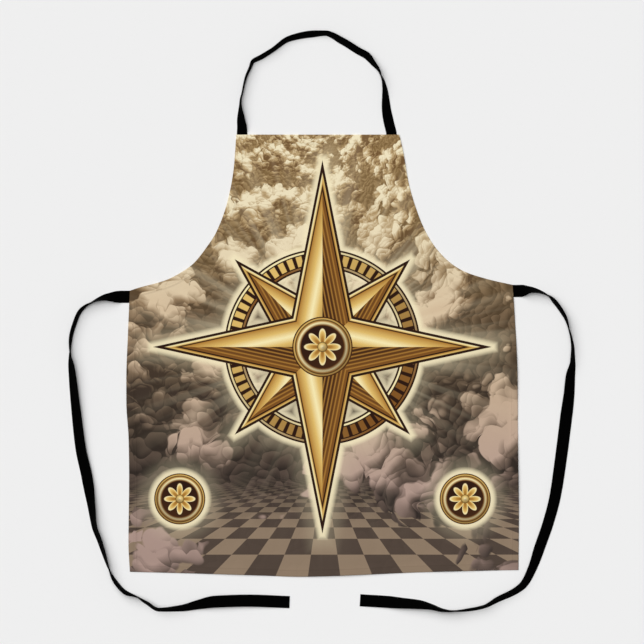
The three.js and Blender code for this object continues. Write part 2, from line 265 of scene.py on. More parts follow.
def bars(rings: np.ndarray, turned: bool) -> tuple[np.ndarray, np.ndarray]:
    """Faces of closed bars, each carried from its first ring of vertices to its last.

    Args:
        rings: vertex numbers, whose last two axes are the rings and the places round them.
        turned: True where the places run the other way round, so that faces still point out.

    Returns:
        The four-sided faces of the sides, and the faces of the ends.
    """
    around = rings.shape[-1]
    sides = quads(np.concatenate((rings, rings[..., :1]), axis=-1))[:, [0, 3, 2, 1]]
    ends = np.vstack(
        (rings[..., 0, ::-1].reshape(-1, around), rings[..., -1, :].reshape(-1, around))
    )
    return (sides[:, ::-1], ends[:, ::-1]) if turned else (sides, ends)


def add(
    tree: Tree,
    kind: str,
    *inputs: object,
    stops: Sequence[tuple[float, str]] = (),
    sockets: dict[str, object] | None = None,
    **settings: object,
) -> Socket:
    """Adds a shader node with its settings and links.

    Args:
        tree: the material's or the group's node tree.
        kind: the node's type without its prefix, and then its operation if it has one.
        *inputs: what its sockets in use take, in order. A socket is linked, and any other value
            is set.
        stops: a colour ramp's places from 0 to 1 and their sRGB hex colours.
        sockets: what its sockets take by name, after those in order.
        **settings: the node's own attributes.

    Returns:
        Its first output in use.
    """
    name, _, operation = kind.partition(" ")
    node = tree.nodes.new("ShaderNode" + name)
    if operation:
        node.operation = operation
    for setting, value in settings.items():
        setattr(node, setting, value)
    if stops:
        elements = node.color_ramp.elements
        while len(elements) < len(stops):
            elements.new(0.5)
        for element, (place, colour) in zip(elements, stops):
            element.position = place
            element.color = srgb(colour)
    given = list(zip((socket for socket in node.inputs if socket.enabled), inputs))
    given += [(node.inputs[key], value) for key, value in (sockets or {}).items()]
    for socket, value in given:
        if isinstance(value, Socket):
            tree.links.new(value, socket)
        else:
            socket.default_value = value
    return next(socket for socket in node.outputs if socket.enabled)


def new_group(name: str, takes: dict[str, str], gives: dict[str, str]) -> Tree:
    """Makes an empty node group with its sockets.

    Args:
        name: the group's name.
        takes: its inputs by name, each with its socket's type without the prefix.
        gives: its outputs, in the same way.

    Returns:
        The group, with its input and its output node in that order.
    """
    tree = bpy.data.node_groups.new(name, "ShaderNodeTree")
    for way, named in (("INPUT", takes), ("OUTPUT", gives)):
        for socket, kind in named.items():
            tree.interface.new_socket(socket, in_out=way, socket_type="NodeSocket" + kind)
    for end in ("NodeGroupInput", "NodeGroupOutput"):
        tree.nodes.new(end)
    return tree


def new_material(
    name: str, roughness: float, specular: float, colour: str = "#ffffff"
) -> tuple[Material, Tree, bpy.types.NodeInputs]:
    """Makes a material, with its plain values on its shader's own sockets.

    Args:
        name: the material's name.
        roughness: the shader's roughness.
        specular: the shader's specular level.
        colour: its base colour as sRGB hex, where no node gives one.

    Returns:
        The material, its node tree and its shader's inputs.
    """
    material = bpy.data.materials.new(name)
    material.use_nodes = True
    inputs = material.node_tree.nodes["Principled BSDF"].inputs
    inputs["Base Color"].default_value = srgb(colour)
    inputs["Roughness"].default_value = roughness
    inputs["Specular IOR Level"].default_value = specular
    return material, material.node_tree, inputs


def make_mesh_object(
    name: str,
    points: np.ndarray,
    faces: np.ndarray,
    uv_map: str,
    uvs: np.ndarray,
    materials: Sequence[Material],
    material_index: np.ndarray | None = None,
    ends: np.ndarray | Sequence = (),
) -> bpy.types.Object:
    """Puts arrays into a new smooth-shaded mesh object at the origin.

    Args:
        name: the object's name.
        points: rows of x, y and z, in metres.
        faces: rows of four vertex numbers, counter-clockwise from outside.
        uv_map: name of the UV map.
        uvs: rows of u and v, one for each corner of each face, the ends' corners last.
        materials: the finishes, in the order of their numbers.
        material_index: number of each face's finish, or None for the first.
        ends: faces with any number of corners, which follow the others.

    Returns:
        The object.
    """
    mesh = bpy.data.meshes.new(name)
    mesh.from_pydata(points.tolist(), [], faces.tolist() + np.asarray(ends).tolist())
    mesh.uv_layers.new(name=uv_map).uv.foreach_set("vector", uvs.astype(np.float32).ravel())
    for material in materials:
        mesh.materials.append(material)
    if material_index is not None:
        mesh.polygons.foreach_set("material_index", material_index.astype(np.int32))
    mesh.polygons.foreach_set("use_smooth", np.ones(len(mesh.polygons), bool))
    mesh.update()
    mesh.validate()
    piece = bpy.data.objects.new(name, mesh)
    bpy.context.scene.collection.objects.link(piece)
    return piece


class Track:
    """A smooth track through stations, whose first two columns are x and y.

    Every column is a monotone cubic of the distance along x and y: the slope at a station is the
    harmonic mean 2ab / (a + b) of the steepness before and after it, or 0 where they differ in
    sign, so the track never swings past a station.
    """

    def __init__(self, stations: Sequence[Sequence[float]]) -> None:
        """Works out the distances and slopes at the stations.

        Args:
            stations: rows of x, y and any further columns.
        """
        self.values = np.array(stations, float)
        chords = np.hypot(*np.diff(self.values[:, :2], axis=0).T)
        self.marks = np.concatenate(([0.0], np.cumsum(chords)))
        self.length = float(self.marks[-1])
        steep = np.diff(self.values, axis=0) / chords[:, None]
        before, after = steep[:-1], steep[1:]
        alike = before * after > 0
        mean = 2 * before * after / np.where(alike, before + after, 1)
        self.slopes = np.vstack((steep[:1], np.where(alike, mean, 0), steep[-1:]))

    def at(self, distance: np.ndarray) -> np.ndarray:
        """The columns at distances along the track.

        With s the share of the span, p the stations' values and m their slopes, a column is
        p0 + (p1 - p0)(3s^2 - 2s^3) + span (m0 s (1 - s)^2 - m1 s^2 (1 - s)).

        Args:
            distance: distances from the first station.

        Returns:
            A row of columns for each distance.
        """
        where = np.asarray(distance, float)
        i = np.clip(np.searchsorted(self.marks, where) - 1, 0, len(self.marks) - 2)
        span = (self.marks[i + 1] - self.marks[i])[:, None]
        s = np.clip((where - self.marks[i])[:, None] / span, 0, 1)
        blend = s * s * (3 - 2 * s)
        ends = self.values[i] * (1 - blend) + self.values[i + 1] * blend
        bends = self.slopes[i] * s * (1 - s) ** 2 - self.slopes[i + 1] * s * s * (1 - s)
        return ends + span * bends

    def run_at(self, distance: np.ndarray, reach: float = 2.0) -> np.ndarray:
        """Unit vectors along the track.

        Args:
            distance: distances from the first station.
            reach: how far to either side the two points lie that give the direction.

        Returns:
            A row of x and y for each distance.
        """
        ahead = self.at(np.minimum(distance + reach, self.length))[:, :2]
        run = ahead - self.at(np.maximum(distance - reach, 0))[:, :2]
        return run / np.linalg.norm(run, axis=1, keepdims=True)


# The print


class Cut(Enum):
    """Where the flat cut lies in its UV map, in metres: one unit of the map is one metre."""

    MIDDLE = 0.5
    TOP = 0.9


@dataclass(frozen=True)
class Gold:
    """The print's gilding, from its drawn outline to its glints."""

    outline: str = "#2a1409"
    line: str = "#4a2a12"
    shade: str = "#7d5020"
    body: str = "#b07e36"
    light: str = "#deba6a"
    glint: str = "#f6e8b2"
    halo: str = "#f2e5bf"


@dataclass(frozen=True)
class Puffs:
    """Round puffs that overlap like a cauliflower's, lit from the upper left.

    A layer is where its cells are taken from and its puffs' radius, in puff pitches.
    """

    layers: tuple[tuple[tuple[float, float, float], float], ...] = (
        ((0.0, 0.0, 0.0), 0.74), ((7.3, 3.6, 0.0), 0.62), ((3.1, 8.4, 0.0), 0.55),
    )
    scatter: float = 0.9
    light: tuple[float, float] = (-0.42, 0.9)
    gap_shade: float = 0.3
    rim: float = 0.16
    contact: float = 0.7
    contact_shade: float = 0.62

    def group(self) -> Tree:
        """The puffs as a node group, from a place in puff pitches to shade and dome.

        Each layer has one round puff in a cell of a Voronoi diagram. With n the way from the
        puff's middle in its radii, its dome is 1 - |n|^2 and its shade 0.5 + 0.5 n . light. It
        hides the layers behind it where its dome is above 0, and darkens them close round it.

        Returns:
            The node group.
        """
        tree = new_group("puffs", {"Place": "Vector"}, {"Shade": "Float", "Dome": "Float"})
        start, end = tree.nodes
        place = start.outputs[0]
        shade: float | Socket = self.gap_shade
        dome: float | Socket = 0.0
        for offset, radius in self.layers:
            moved = add(tree, "VectorMath ADD", place, offset)
            distance = add(
                tree, "TexVoronoi", moved, 1.0, voronoi_dimensions="2D",
                sockets={"Randomness": self.scatter},
            )
            away = add(tree, "VectorMath SUBTRACT", moved, distance.node.outputs["Position"])
            ratio = add(tree, "Math DIVIDE", distance, radius)
            bulge = add(tree, "Math SUBTRACT", 1.0, add(tree, "Math MULTIPLY", ratio, ratio))
            towards = (self.light[0] / (2 * radius), self.light[1] / (2 * radius), 0.0)
            lit = add(tree, "Math ADD", add(tree, "VectorMath DOT_PRODUCT", away, towards), 0.5)
            cover = add(tree, "MapRange", bulge, 0.0, self.rim, **EASED)
            near = add(tree, "MapRange", bulge, -self.contact, 0.0, 1.0, self.contact_shade)
            shade = add(tree, "Mix", cover, add(tree, "Math MULTIPLY", shade, near), lit)
            dome = add(tree, "Mix", cover, dome, bulge)
        tree.links.new(shade, end.inputs["Shade"])
        tree.links.new(dome, end.inputs["Dome"])
        return tree


@dataclass(frozen=True)
class Pavement:
    """A chequered floor that runs back to the horizon and is lost in haze there."""

    horizon: float = -560.0
    column: float = 3.6
    row: float = 820.0
    square_middle: float = 0.5
    least_fall: float = 4.0
    haze: tuple[float, float] = (15.0, 130.0)
    strength: float = 0.9
    pale: str = "#917d68"
    dark: str = "#50433a"

    def paint(self, tree: Tree, x: Socket, y: Socket, behind: Socket) -> Socket:
        """Lays the floor over a colour.

        With f the distance below the horizon, a square's column is 3.6 x / f + 0.5 and its row
        820 / f.

        Args:
            tree: the print's node tree.
            x: the place across the flat cut, in millimetres.
            y: the place up the flat cut, in millimetres.
            behind: the colour behind the floor.

        Returns:
            The colour with the floor over it.
        """
        fall = add(tree, "Math SUBTRACT", self.horizon, y)
        depth = add(tree, "Math MAXIMUM", fall, self.least_fall)
        column = add(tree, "Math DIVIDE", add(tree, "Math MULTIPLY", x, self.column), depth)
        column = add(tree, "Math ADD", column, self.square_middle)
        row = add(tree, "Math DIVIDE", self.row, depth)
        square = add(tree, "CombineXYZ", column, row, self.square_middle)
        tiles = add(tree, "TexChecker", square, srgb(self.pale), srgb(self.dark), 1.0)
        near = add(tree, "MapRange", fall, *self.haze, 0.0, self.strength, **EASED)
        return add(tree, "Mix", near, behind, tiles, **COLOURS)


class SkyBand(NamedTuple):
    """The sky's colours at one height of the cloth: clouds' lit tops, bodies and folds, and gaps."""

    place: float
    top: str
    body: str
    fold: str
    gap: str


@dataclass(frozen=True)
class Sky:
    """Banks of cumulus round a light above the bib, with a paved floor below them.

    Weights are what each term adds to the light on a cloud, or to the height of a bank. The light
    pairs and the bank's edge are the values between which a share rises from 0 to 1. The floor's
    pairs are those between which the clearing over it fades, in millimetres to the side and in
    shares of the cloth's length.
    """

    cloth_length: float = 762.0
    light_place: tuple[float, float] = (0.0, 70.0)
    puff_count: float = 10.0
    small_puffs: float = 2.6
    push_scale: float = 0.8
    mass_scale: float = 0.36
    noise_detail: float = 2.0
    mass_lit_side: tuple[float, float, float] = (-0.5, 1.1, 0.0)
    least_light: float = 0.06
    slope_weight: float = 1.7
    shade_weights: tuple[float, float] = (0.62, 0.34)
    body_light: tuple[float, float] = (0.22, 0.52)
    top_light: tuple[float, float] = (0.52, 0.86)
    stain_light: tuple[float, float] = (0.2, 0.8)
    stain_strength: float = 0.5
    dome_weights: tuple[float, float] = (0.19, 0.05)
    level_weight: float = 0.09
    floor_weight: float = -0.2
    floor_sides: tuple[float, float] = (60.0, 340.0)
    floor_levels: tuple[float, float] = (0.08, 0.42)
    bank_edge: tuple[float, float] = (0.63, 0.665)
    bands: tuple[SkyBand, ...] = (
        SkyBand(0.0, "#a58c82", "#66564e", "#2e2724", "#27211e"),
        SkyBand(0.2, "#b0968a", "#68574e", "#2e2622", "#2a231f"),
        SkyBand(0.42, "#c3aa90", "#786551", "#3c3027", "#392e24"),
        SkyBand(0.6, "#d3bb9b", "#8f765a", "#503f2c", "#52412d"),
        SkyBand(0.8, "#eadcba", "#b3976c", "#6b5030", "#745c3a"),
        SkyBand(1.0, "#f0e4c2", "#bb9e6f", "#725432", "#80643c"),
    )
    pavement: Pavement = Pavement()

    def spread(self, tree: Tree, cut: Socket) -> Socket:
        """The place in puff pitches round the light.

        It is (k a, -k ln r), with r the distance from the light, a the angle round it and k the
        puff count, so that puffs grow with r and keep their shape.

        Args:
            tree: the print's node tree.
            cut: the place on the flat cut, in millimetres.

        Returns:
            The place.
        """
        off_light = add(tree, "VectorMath SUBTRACT", cut, (*self.light_place, 0))
        x = add(tree, "SeparateXYZ", off_light)
        drop = add(tree, "Math MULTIPLY", x.node.outputs["Y"], -1.0)
        reach = add(tree, "VectorMath LENGTH", off_light)
        polar = add(
            tree, "CombineXYZ", add(tree, "Math ARCTAN2", x, drop),
            add(tree, "Math LOGARITHM", reach, math.e), 0.0,
        )
        count = self.puff_count
        return add(tree, "VectorMath MULTIPLY", polar, (count, -count, 0))

    def weighed(self, tree: Tree, base: Socket, terms: Sequence[tuple[Socket, float]]) -> Socket:
        """A base plus each term times its weight.

        Args:
            tree: the print's node tree.
            base: the first summand.
            terms: the terms and their weights.

        Returns:
            The sum.
        """
        for term, weight in terms:
            base = add(tree, "Math MULTIPLY_ADD", term, weight, base)
        return base

    def paint(self, tree: Tree, cut: Socket) -> Socket:
        """The colour of the sky and the floor.

        Args:
            tree: the print's node tree.
            cut: the place on the flat cut, in millimetres.

        Returns:
            The colour.
        """
        x = add(tree, "SeparateXYZ", cut)
        y = x.node.outputs["Y"]
        level = add(tree, "MapRange", y, -self.cloth_length, 0.0)
        spread = self.spread(tree, cut)
        push, mass, mass_beside = (
            add(tree, "TexNoise", place, scale, self.noise_detail, noise_dimensions="2D")
            for place, scale in (
                (spread, self.push_scale), (spread, self.mass_scale),
                (add(tree, "VectorMath ADD", spread, self.mass_lit_side), self.mass_scale),
            )
        )
        # The noise's colour, about its middle of 0.5, pushes the puffs out of line
        push = add(
            tree, "VectorMath MULTIPLY_ADD", push.node.outputs["Color"], (1, 1, 0), (-0.5, -0.5, 0)
        )
        pushed = add(tree, "VectorMath ADD", spread, push)
        puffs = Puffs().group()
        places = (pushed, add(tree, "VectorMath SCALE", pushed, self.small_puffs))
        shades = [add(tree, "Group", place, node_tree=puffs) for place in places]
        domes = [shade.node.outputs["Dome"] for shade in shades]
        slope = add(tree, "Math SUBTRACT", mass, mass_beside)
        light = add(tree, "Math MULTIPLY_ADD", slope, self.slope_weight, self.least_light)
        light = self.weighed(tree, light, list(zip(shades, self.shade_weights)))

        tops, bodies, folds, gaps = (
            add(tree, "ValToRGB", level, stops=[(band.place, band[tone]) for band in self.bands])
            for tone in range(1, len(SkyBand._fields))
        )
        to_body = add(tree, "MapRange", light, *self.body_light)
        to_top = add(tree, "MapRange", light, *self.top_light)
        cloud = add(tree, "Mix", to_body, folds, bodies, **COLOURS)
        cloud = add(tree, "Mix", to_top, cloud, tops, **COLOURS)

        # Far clouds are soft stains on the gaps' tone
        stains = add(tree, "MapRange", shades[1], *self.stain_light, 0.0, self.stain_strength)
        far = add(tree, "Mix", stains, gaps, bodies, **COLOURS)
        far = self.pavement.paint(tree, x, y, far)

        # Banks stand where a slow noise is high, with their puffs' domes along the edge, and keep
        # clear of the middle of the floor
        middle = add(tree, "Math ABSOLUTE", x)
        over_floor = add(
            tree, "Math MULTIPLY", add(tree, "MapRange", middle, *self.floor_sides, 1.0, 0.0, **EASED),
            add(tree, "MapRange", level, *self.floor_levels, 1.0, 0.0, **EASED),
        )
        bank = self.weighed(
            tree, mass,
            [*zip(domes, self.dome_weights), (over_floor, self.floor_weight),
             (level, self.level_weight)],
        )
        cover = add(tree, "MapRange", bank, *self.bank_edge, **EASED)
        return add(tree, "Mix", cover, far, cloud, **COLOURS)


@dataclass(frozen=True)
class Rays:
    """Rays of pale light that fan out from the star's middle and fade outwards and downwards."""

    colour: str = "#f4e6c4"
    fan_scale: float = 9.0
    fan_detail: float = 2.0
    fan_roughness: float = 0.6
    edge: tuple[float, float] = (0.42, 0.66)
    reach: tuple[float, float] = (60.0, 400.0)
    strength: float = 0.34
    levels: tuple[float, float] = (-240.0, 160.0)
    lowest: float = 0.12

    def paint(self, tree: Tree, centred: Socket, behind: Socket) -> Socket:
        """Lays the rays over a colour: a noise of the angle, times the two fades.

        Args:
            tree: the print's node tree.
            centred: the place from the star's middle, in millimetres.
            behind: the colour behind the rays.

        Returns:
            The colour with the rays over it.
        """
        x = add(tree, "SeparateXYZ", centred)
        y = x.node.outputs["Y"]
        fan = add(
            tree, "TexNoise", add(tree, "Math ARCTAN2", x, y), self.fan_scale, self.fan_detail,
            self.fan_roughness, noise_dimensions="1D",
        )
        beams = add(tree, "MapRange", fan, *self.edge, **EASED)
        radius = add(tree, "VectorMath LENGTH", centred)
        fade = add(tree, "MapRange", radius, *self.reach, self.strength, 0.0)
        upper = add(tree, "MapRange", y, *self.levels, self.lowest, 1.0, **EASED)
        glow = add(tree, "Math MULTIPLY", add(tree, "Math MULTIPLY", beams, fade), upper)
        return add(tree, "Mix", glow, behind, srgb(self.colour), **COLOURS)


@dataclass(frozen=True)
class StarPoints:
    """Four points of the star: two crossed lozenges, in a frame turned about the middle.

    The points to the sides are lit from above, and those up and down on their right where the lit
    side is 1, and on their left where it is -1.
    """

    turn: float
    up: float
    across: float
    half_width: float
    lit_side: float


@dataclass(frozen=True)
class Emblem:
    """A faceted eight-pointed star on a ring with a boss, and two rosettes, all gilded.

    Sizes are in millimetres. Bright and dim steps are depths inside a facet's outline, and petal
    and moulding steps are shares of the boss's radius, each with its tone. The ring's lines are
    shares of its half width, white where a dark line is drawn. A halo's values are where it
    starts, where it ends and its strength, and the inner halo's are where it starts and its share
    there.
    """

    gold: Gold = Gold()
    diagonals: StarPoints = StarPoints(-math.pi / 4, 214.0, 214.0, 62.0, 1.0)
    long_points: StarPoints = StarPoints(0.0, 322.0, 292.0, 64.0, -1.0)
    facet_depth: float = 64.0
    bright_steps: tuple[tuple[float, str], ...] = (
        (0, "outline"), (4, "outline"), (4.8, "glint"), (7.6, "light"), (8.4, "line"),
        (10.2, "line"), (11, "body"), (23.04, "light"), (33.28, "glint"), (43.52, "light"),
        (64, "shade"),
    )
    dim_steps: tuple[tuple[float, str], ...] = (
        (0, "outline"), (4, "outline"), (4.8, "light"), (7.6, "body"), (8.4, "outline"),
        (10.2, "outline"), (11, "shade"), (32, "line"), (64, "outline"),
    )
    petal_steps: tuple[tuple[float, str], ...] = (
        (0, "outline"), (0.035, "line"), (0.07, "glint"), (0.16, "light"), (0.34, "body"),
        (0.6, "shade"),
    )
    moulding_steps: tuple[tuple[float, str], ...] = (
        (0, "glint"), (0.12, "light"), (0.17, "outline"), (0.7, "outline"), (0.73, "shade"),
        (0.8, "glint"), (0.86, "body"), (0.9, "outline"), (0.93, "light"), (0.96, "body"),
        (0.97, "outline"), (1, "outline"),
    )
    ring_lines: tuple[tuple[float, str], ...] = (
        (0, "#000000"), (0.5, "#000000"), (0.53, "#ffffff"), (0.62, "#ffffff"),
        (0.65, "#000000"), (0.8, "#000000"), (0.83, "#ffffff"), (1, "#ffffff"),
    )
    flute_start: float = 11.0
    flute_pitch: float = 6.4
    flute_slope: tuple[float, float] = (0.2, 0.5)
    flute_strength: float = 0.9
    ring_radius: float = 152.0
    ring_half_width: float = 17.0
    ring_notches: int = 60
    notch_edge: tuple[float, float] = (2.6, 3.6)
    rim_share: float = 0.58
    boss_radius: float = 52.0
    rosette_place: tuple[float, float] = (246.0, -262.0)
    rosette_radius: float = 44.0
    light: tuple[float, float, float] = (-0.707, 0.707, 0.0)
    rosette_light: tuple[float, float, float] = (-0.3, 0.95, 0.0)
    petals: float = 8.0
    petal_least: float = 0.3
    petal_swell: float = 0.36
    eye: float = 0.17
    away_shade: float = 0.55
    close_halo: tuple[float, float, float] = (2.0, 15.0, 0.9)
    wide_halo: tuple[float, float, float] = (0.0, 42.0, 0.16)
    inner_halo: tuple[float, float] = (92.0, 0.45)

    def tones(
        self, steps: Sequence[tuple[float, str]], deepest: float = 1.0
    ) -> list[tuple[float, str]]:
        """A colour ramp's stops from steps of named gold.

        Args:
            steps: places, and the names of the gold's tones there.
            deepest: the place at the ramp's end.

        Returns:
            Places from 0 to 1, and sRGB hex colours.
        """
        return [(place / deepest, getattr(self.gold, tone)) for place, tone in steps]

    def lozenge(self, tree: Tree, quarter: Socket, wide: float, tall: float) -> Socket:
        """Distance outside a lozenge of half sizes a and b: (|x| b + |y| a - a b) / sqrt(a^2 + b^2).

        Past its tips it is the distance outside the circle through them, where that is more.

        Args:
            tree: the print's node tree.
            quarter: |x| and |y| as a vector.
            wide: a, in millimetres.
            tall: b, in millimetres.

        Returns:
            The distance, negative inside.
        """
        edge = math.hypot(wide, tall)
        along = add(tree, "VectorMath DOT_PRODUCT", quarter, (tall / edge, wide / edge, 0))
        beside = add(tree, "Math SUBTRACT", along, wide * tall / edge)
        past_tip = add(
            tree, "Math SUBTRACT", add(tree, "VectorMath LENGTH", quarter), max(wide, tall)
        )
        return add(tree, "Math MAXIMUM", beside, past_tip)

    def gilded(self, tree: Tree, distance: Socket, lit: Socket) -> Socket:
        """Gold of a facet, by how deep inside its outline a place is.

        From the edge inwards a facet has a dark outline, a bright rim, an engraved line, and then
        its face. A facet in the light is smooth, and one in shade has flutes that follow its edge.

        Args:
            tree: the print's node tree.
            distance: distance outside the outline, negative inside, in millimetres.
            lit: 1 on a facet in the light, and 0 in shade.

        Returns:
            The facet's colour.
        """
        depth = add(tree, "Math MULTIPLY", distance, -1.0)
        share = add(tree, "Math DIVIDE", depth, self.facet_depth)
        bright, dim = (
            add(tree, "ValToRGB", share, stops=self.tones(steps, self.facet_depth))
            for steps in (self.bright_steps, self.dim_steps)
        )
        pitch = self.flute_pitch
        flute = add(tree, "Math PINGPONG", depth, pitch / 2)
        low, high = (pitch * side for side in self.flute_slope)
        crest = add(tree, "MapRange", flute, low, high, 0.0, self.flute_strength)
        past_line = add(tree, "Math GREATER_THAN", depth, self.flute_start)
        crest = add(tree, "Math MULTIPLY", crest, past_line)
        fluted = add(tree, "Mix", crest, dim, srgb(self.gold.body), **COLOURS)
        return add(tree, "Mix", lit, fluted, bright, **COLOURS)

    def points(self, tree: Tree, centred: Socket, star: StarPoints) -> tuple[Socket, Socket]:
        """Four of the star's points.

        Args:
            tree: the print's node tree.
            centred: the place from the star's middle, in millimetres.
            star: which four.

        Returns:
            The distance outside them, and their colour.
        """
        turned = add(
            tree, "VectorRotate", rotation_type="Z_AXIS",
            sockets={"Vector": centred, "Angle": star.turn},
        )
        x = add(tree, "SeparateXYZ", turned)
        quarter = add(tree, "VectorMath ABSOLUTE", turned)
        upright = self.lozenge(tree, quarter, star.half_width, star.up)
        level = self.lozenge(tree, quarter, star.across, star.half_width)
        sideways = add(tree, "Math MULTIPLY", x, star.lit_side)
        side_lit, upper_lit = (
            add(tree, "Math GREATER_THAN", place, 0.0) for place in (sideways, x.node.outputs["Y"])
        )
        is_upright = add(tree, "Math LESS_THAN", upright, level)
        lit = add(tree, "Mix", is_upright, upper_lit, side_lit)
        distance = add(tree, "Math MINIMUM", upright, level)
        return distance, self.gilded(tree, distance, lit)

    def polar(
        self, tree: Tree, place: Socket, light: tuple[float, float, float]
    ) -> tuple[Socket, Socket, Socket]:
        """Radius, angle, and how far a surface that falls away from the middle faces the light.

        Args:
            tree: the print's node tree.
            place: the place from the middle, in millimetres.
            light: the way to the light.

        Returns:
            The three, the last from 1 towards the light to -1 away from it.
        """
        x = add(tree, "SeparateXYZ", place)
        radius = add(tree, "VectorMath LENGTH", place)
        leaning = add(tree, "VectorMath DOT_PRODUCT", place, light)
        angle = add(tree, "Math ARCTAN2", x.node.outputs["Y"], x)
        return radius, angle, add(tree, "Math DIVIDE", leaning, radius)

    def ring(self, tree: Tree, centred: Socket) -> tuple[Socket, Socket]:
        """The ring: two rims with a row of notches between them.

        Args:
            tree: the print's node tree.
            centred: the place from the star's middle, in millimetres.

        Returns:
            The distance outside the ring, and its colour.
        """
        gold = self.gold
        radius, angle, facing = self.polar(tree, centred, self.light)
        off_middle = add(tree, "Math SUBTRACT", radius, self.ring_radius)
        off_ring = add(tree, "Math ABSOLUTE", off_middle)
        rim_light = add(tree, "Math MULTIPLY", add(tree, "Math SIGN", off_middle), facing)
        rim_light, tooth_light = (
            add(tree, "MapRange", light, -1.0, 1.0) for light in (rim_light, facing)
        )
        rim = add(tree, "Mix", rim_light, srgb(gold.shade), srgb(gold.glint), **COLOURS)
        tooth = add(tree, "Mix", tooth_light, srgb(gold.shade), srgb(gold.light), **COLOURS)
        notch = add(tree, "Math PINGPONG", angle, math.pi / self.ring_notches)
        notch = add(tree, "Math MULTIPLY", notch, self.ring_radius)
        on_tooth = add(tree, "MapRange", notch, *self.notch_edge)
        teeth = add(tree, "Mix", on_tooth, srgb(gold.outline), tooth, **COLOURS)
        in_rim = add(tree, "Math GREATER_THAN", off_ring, self.rim_share * self.ring_half_width)
        colour = add(tree, "Mix", in_rim, teeth, rim, **COLOURS)
        share = add(tree, "Math DIVIDE", off_ring, self.ring_half_width)
        lines = add(tree, "ValToRGB", share, stops=self.ring_lines)
        colour = add(tree, "Mix", lines, colour, srgb(gold.outline), **COLOURS)
        return add(tree, "Math SUBTRACT", off_ring, self.ring_half_width), colour

    def flower(
        self, tree: Tree, place: Socket, light: tuple[float, float, float], reach: float
    ) -> tuple[Socket, Socket]:
        """A round boss with a flower of eight petals in a moulded rim.

        A petal's edge lies at the share 0.3 + 0.36 |cos(4 angle)| of the boss's radius.

        Args:
            tree: the print's node tree.
            place: the place from the boss's middle, in millimetres.
            light: the way to the light.
            reach: the boss's radius, in millimetres.

        Returns:
            The distance outside the boss, and its colour.
        """
        radius, angle, facing = self.polar(tree, place, light)
        share = add(tree, "Math DIVIDE", radius, reach)
        wave = add(tree, "Math COSINE", add(tree, "Math MULTIPLY", angle, self.petals / 2))
        wave = add(tree, "Math ABSOLUTE", wave)
        edge = add(tree, "Math MULTIPLY_ADD", wave, self.petal_swell, self.petal_least)
        in_petal = add(tree, "Math SUBTRACT", edge, share)
        petal = add(tree, "ValToRGB", in_petal, stops=self.tones(self.petal_steps))
        mouldings = add(tree, "ValToRGB", share, stops=self.tones(self.moulding_steps))
        shaded = add(tree, "MapRange", facing, -1.0, 1.0, self.away_shade, 0.0)
        mouldings = add(tree, "Mix", shaded, mouldings, srgb(self.gold.line), **COLOURS)
        on_petal = add(
            tree, "Math MULTIPLY", add(tree, "Math GREATER_THAN", in_petal, 0.0),
            add(tree, "Math GREATER_THAN", share, self.eye),
        )
        outside = add(tree, "Math SUBTRACT", radius, reach)
        return outside, add(tree, "Mix", on_petal, mouldings, petal, **COLOURS)

    def paint(self, tree: Tree, centred: Socket, behind: Socket) -> Socket:
        """Lays the halo, the ring, the star, the boss and the rosettes over a colour, in that order.

        Args:
            tree: the print's node tree.
            centred: the place from the star's middle, in millimetres.
            behind: the colour behind them.

        Returns:
            The picture.
        """
        # The two rosettes are one, mirrored about the middle
        x = add(tree, "SeparateXYZ", centred)
        mirrored = add(tree, "CombineXYZ", add(tree, "Math ABSOLUTE", x), x.node.outputs["Y"], 0.0)
        at_rosette = add(tree, "VectorMath SUBTRACT", mirrored, (*self.rosette_place, 0))
        ring = self.ring(tree, centred)
        star = [self.points(tree, centred, four) for four in (self.diagonals, self.long_points)]
        boss = self.flower(tree, centred, self.light, self.boss_radius)
        rosette = self.flower(tree, at_rosette, self.rosette_light, self.rosette_radius)

        nearest = ring[0]
        for distance, _ in (*star, rosette):
            nearest = add(tree, "Math MINIMUM", nearest, distance)
        close, wide = (
            add(tree, "MapRange", nearest, start, end, strength, 0.0, **EASED)
            for start, end, strength in (self.close_halo, self.wide_halo)
        )
        start, least = self.inner_halo
        radius = add(tree, "VectorMath LENGTH", centred)
        within = add(tree, "MapRange", radius, start, self.ring_radius, least, 1.0)
        halo = add(tree, "Math MULTIPLY", add(tree, "Math MAXIMUM", close, wide), within)
        picture = add(tree, "Mix", halo, behind, srgb(self.gold.halo), **COLOURS)
        for distance, colour in (ring, *star, boss, rosette):
            shown = add(tree, "Math LESS_THAN", distance, 0.0)
            picture = add(tree, "Mix", shown, picture, colour, **COLOURS)
        return picture


@dataclass(frozen=True)
class PrintDesign:
    """The print: a gilded star over rays, clouds and a paved floor.

    Places are in millimetres on the flat cut, from the middle of the hem and the bib's edge.
    """

    middle: tuple[float, float] = (-3.0, -366.0)
    sky: Sky = Sky()
    rays: Rays = Rays()
    emblem: Emblem = Emblem()

    def group(self) -> Tree:
        """The print as a node group with one colour output.

        Returns:
            The group.
        """
        tree = new_group("apron print", {}, {"Color": "Color"})
        end = tree.nodes[1]
        cut = add(
            tree, "VectorMath MULTIPLY_ADD", add(tree, "UVMap", uv_map="Cut"), (1 / MM, 1 / MM, 0),
            (-Cut.MIDDLE.value / MM, -Cut.TOP.value / MM, 0),
        )
        centred = add(tree, "VectorMath SUBTRACT", cut, (*self.middle, 0))
        picture = self.rays.paint(tree, centred, self.sky.paint(tree, cut))
        tree.links.new(self.emblem.paint(tree, centred, picture), end.inputs[0])
        return tree


# Finishes


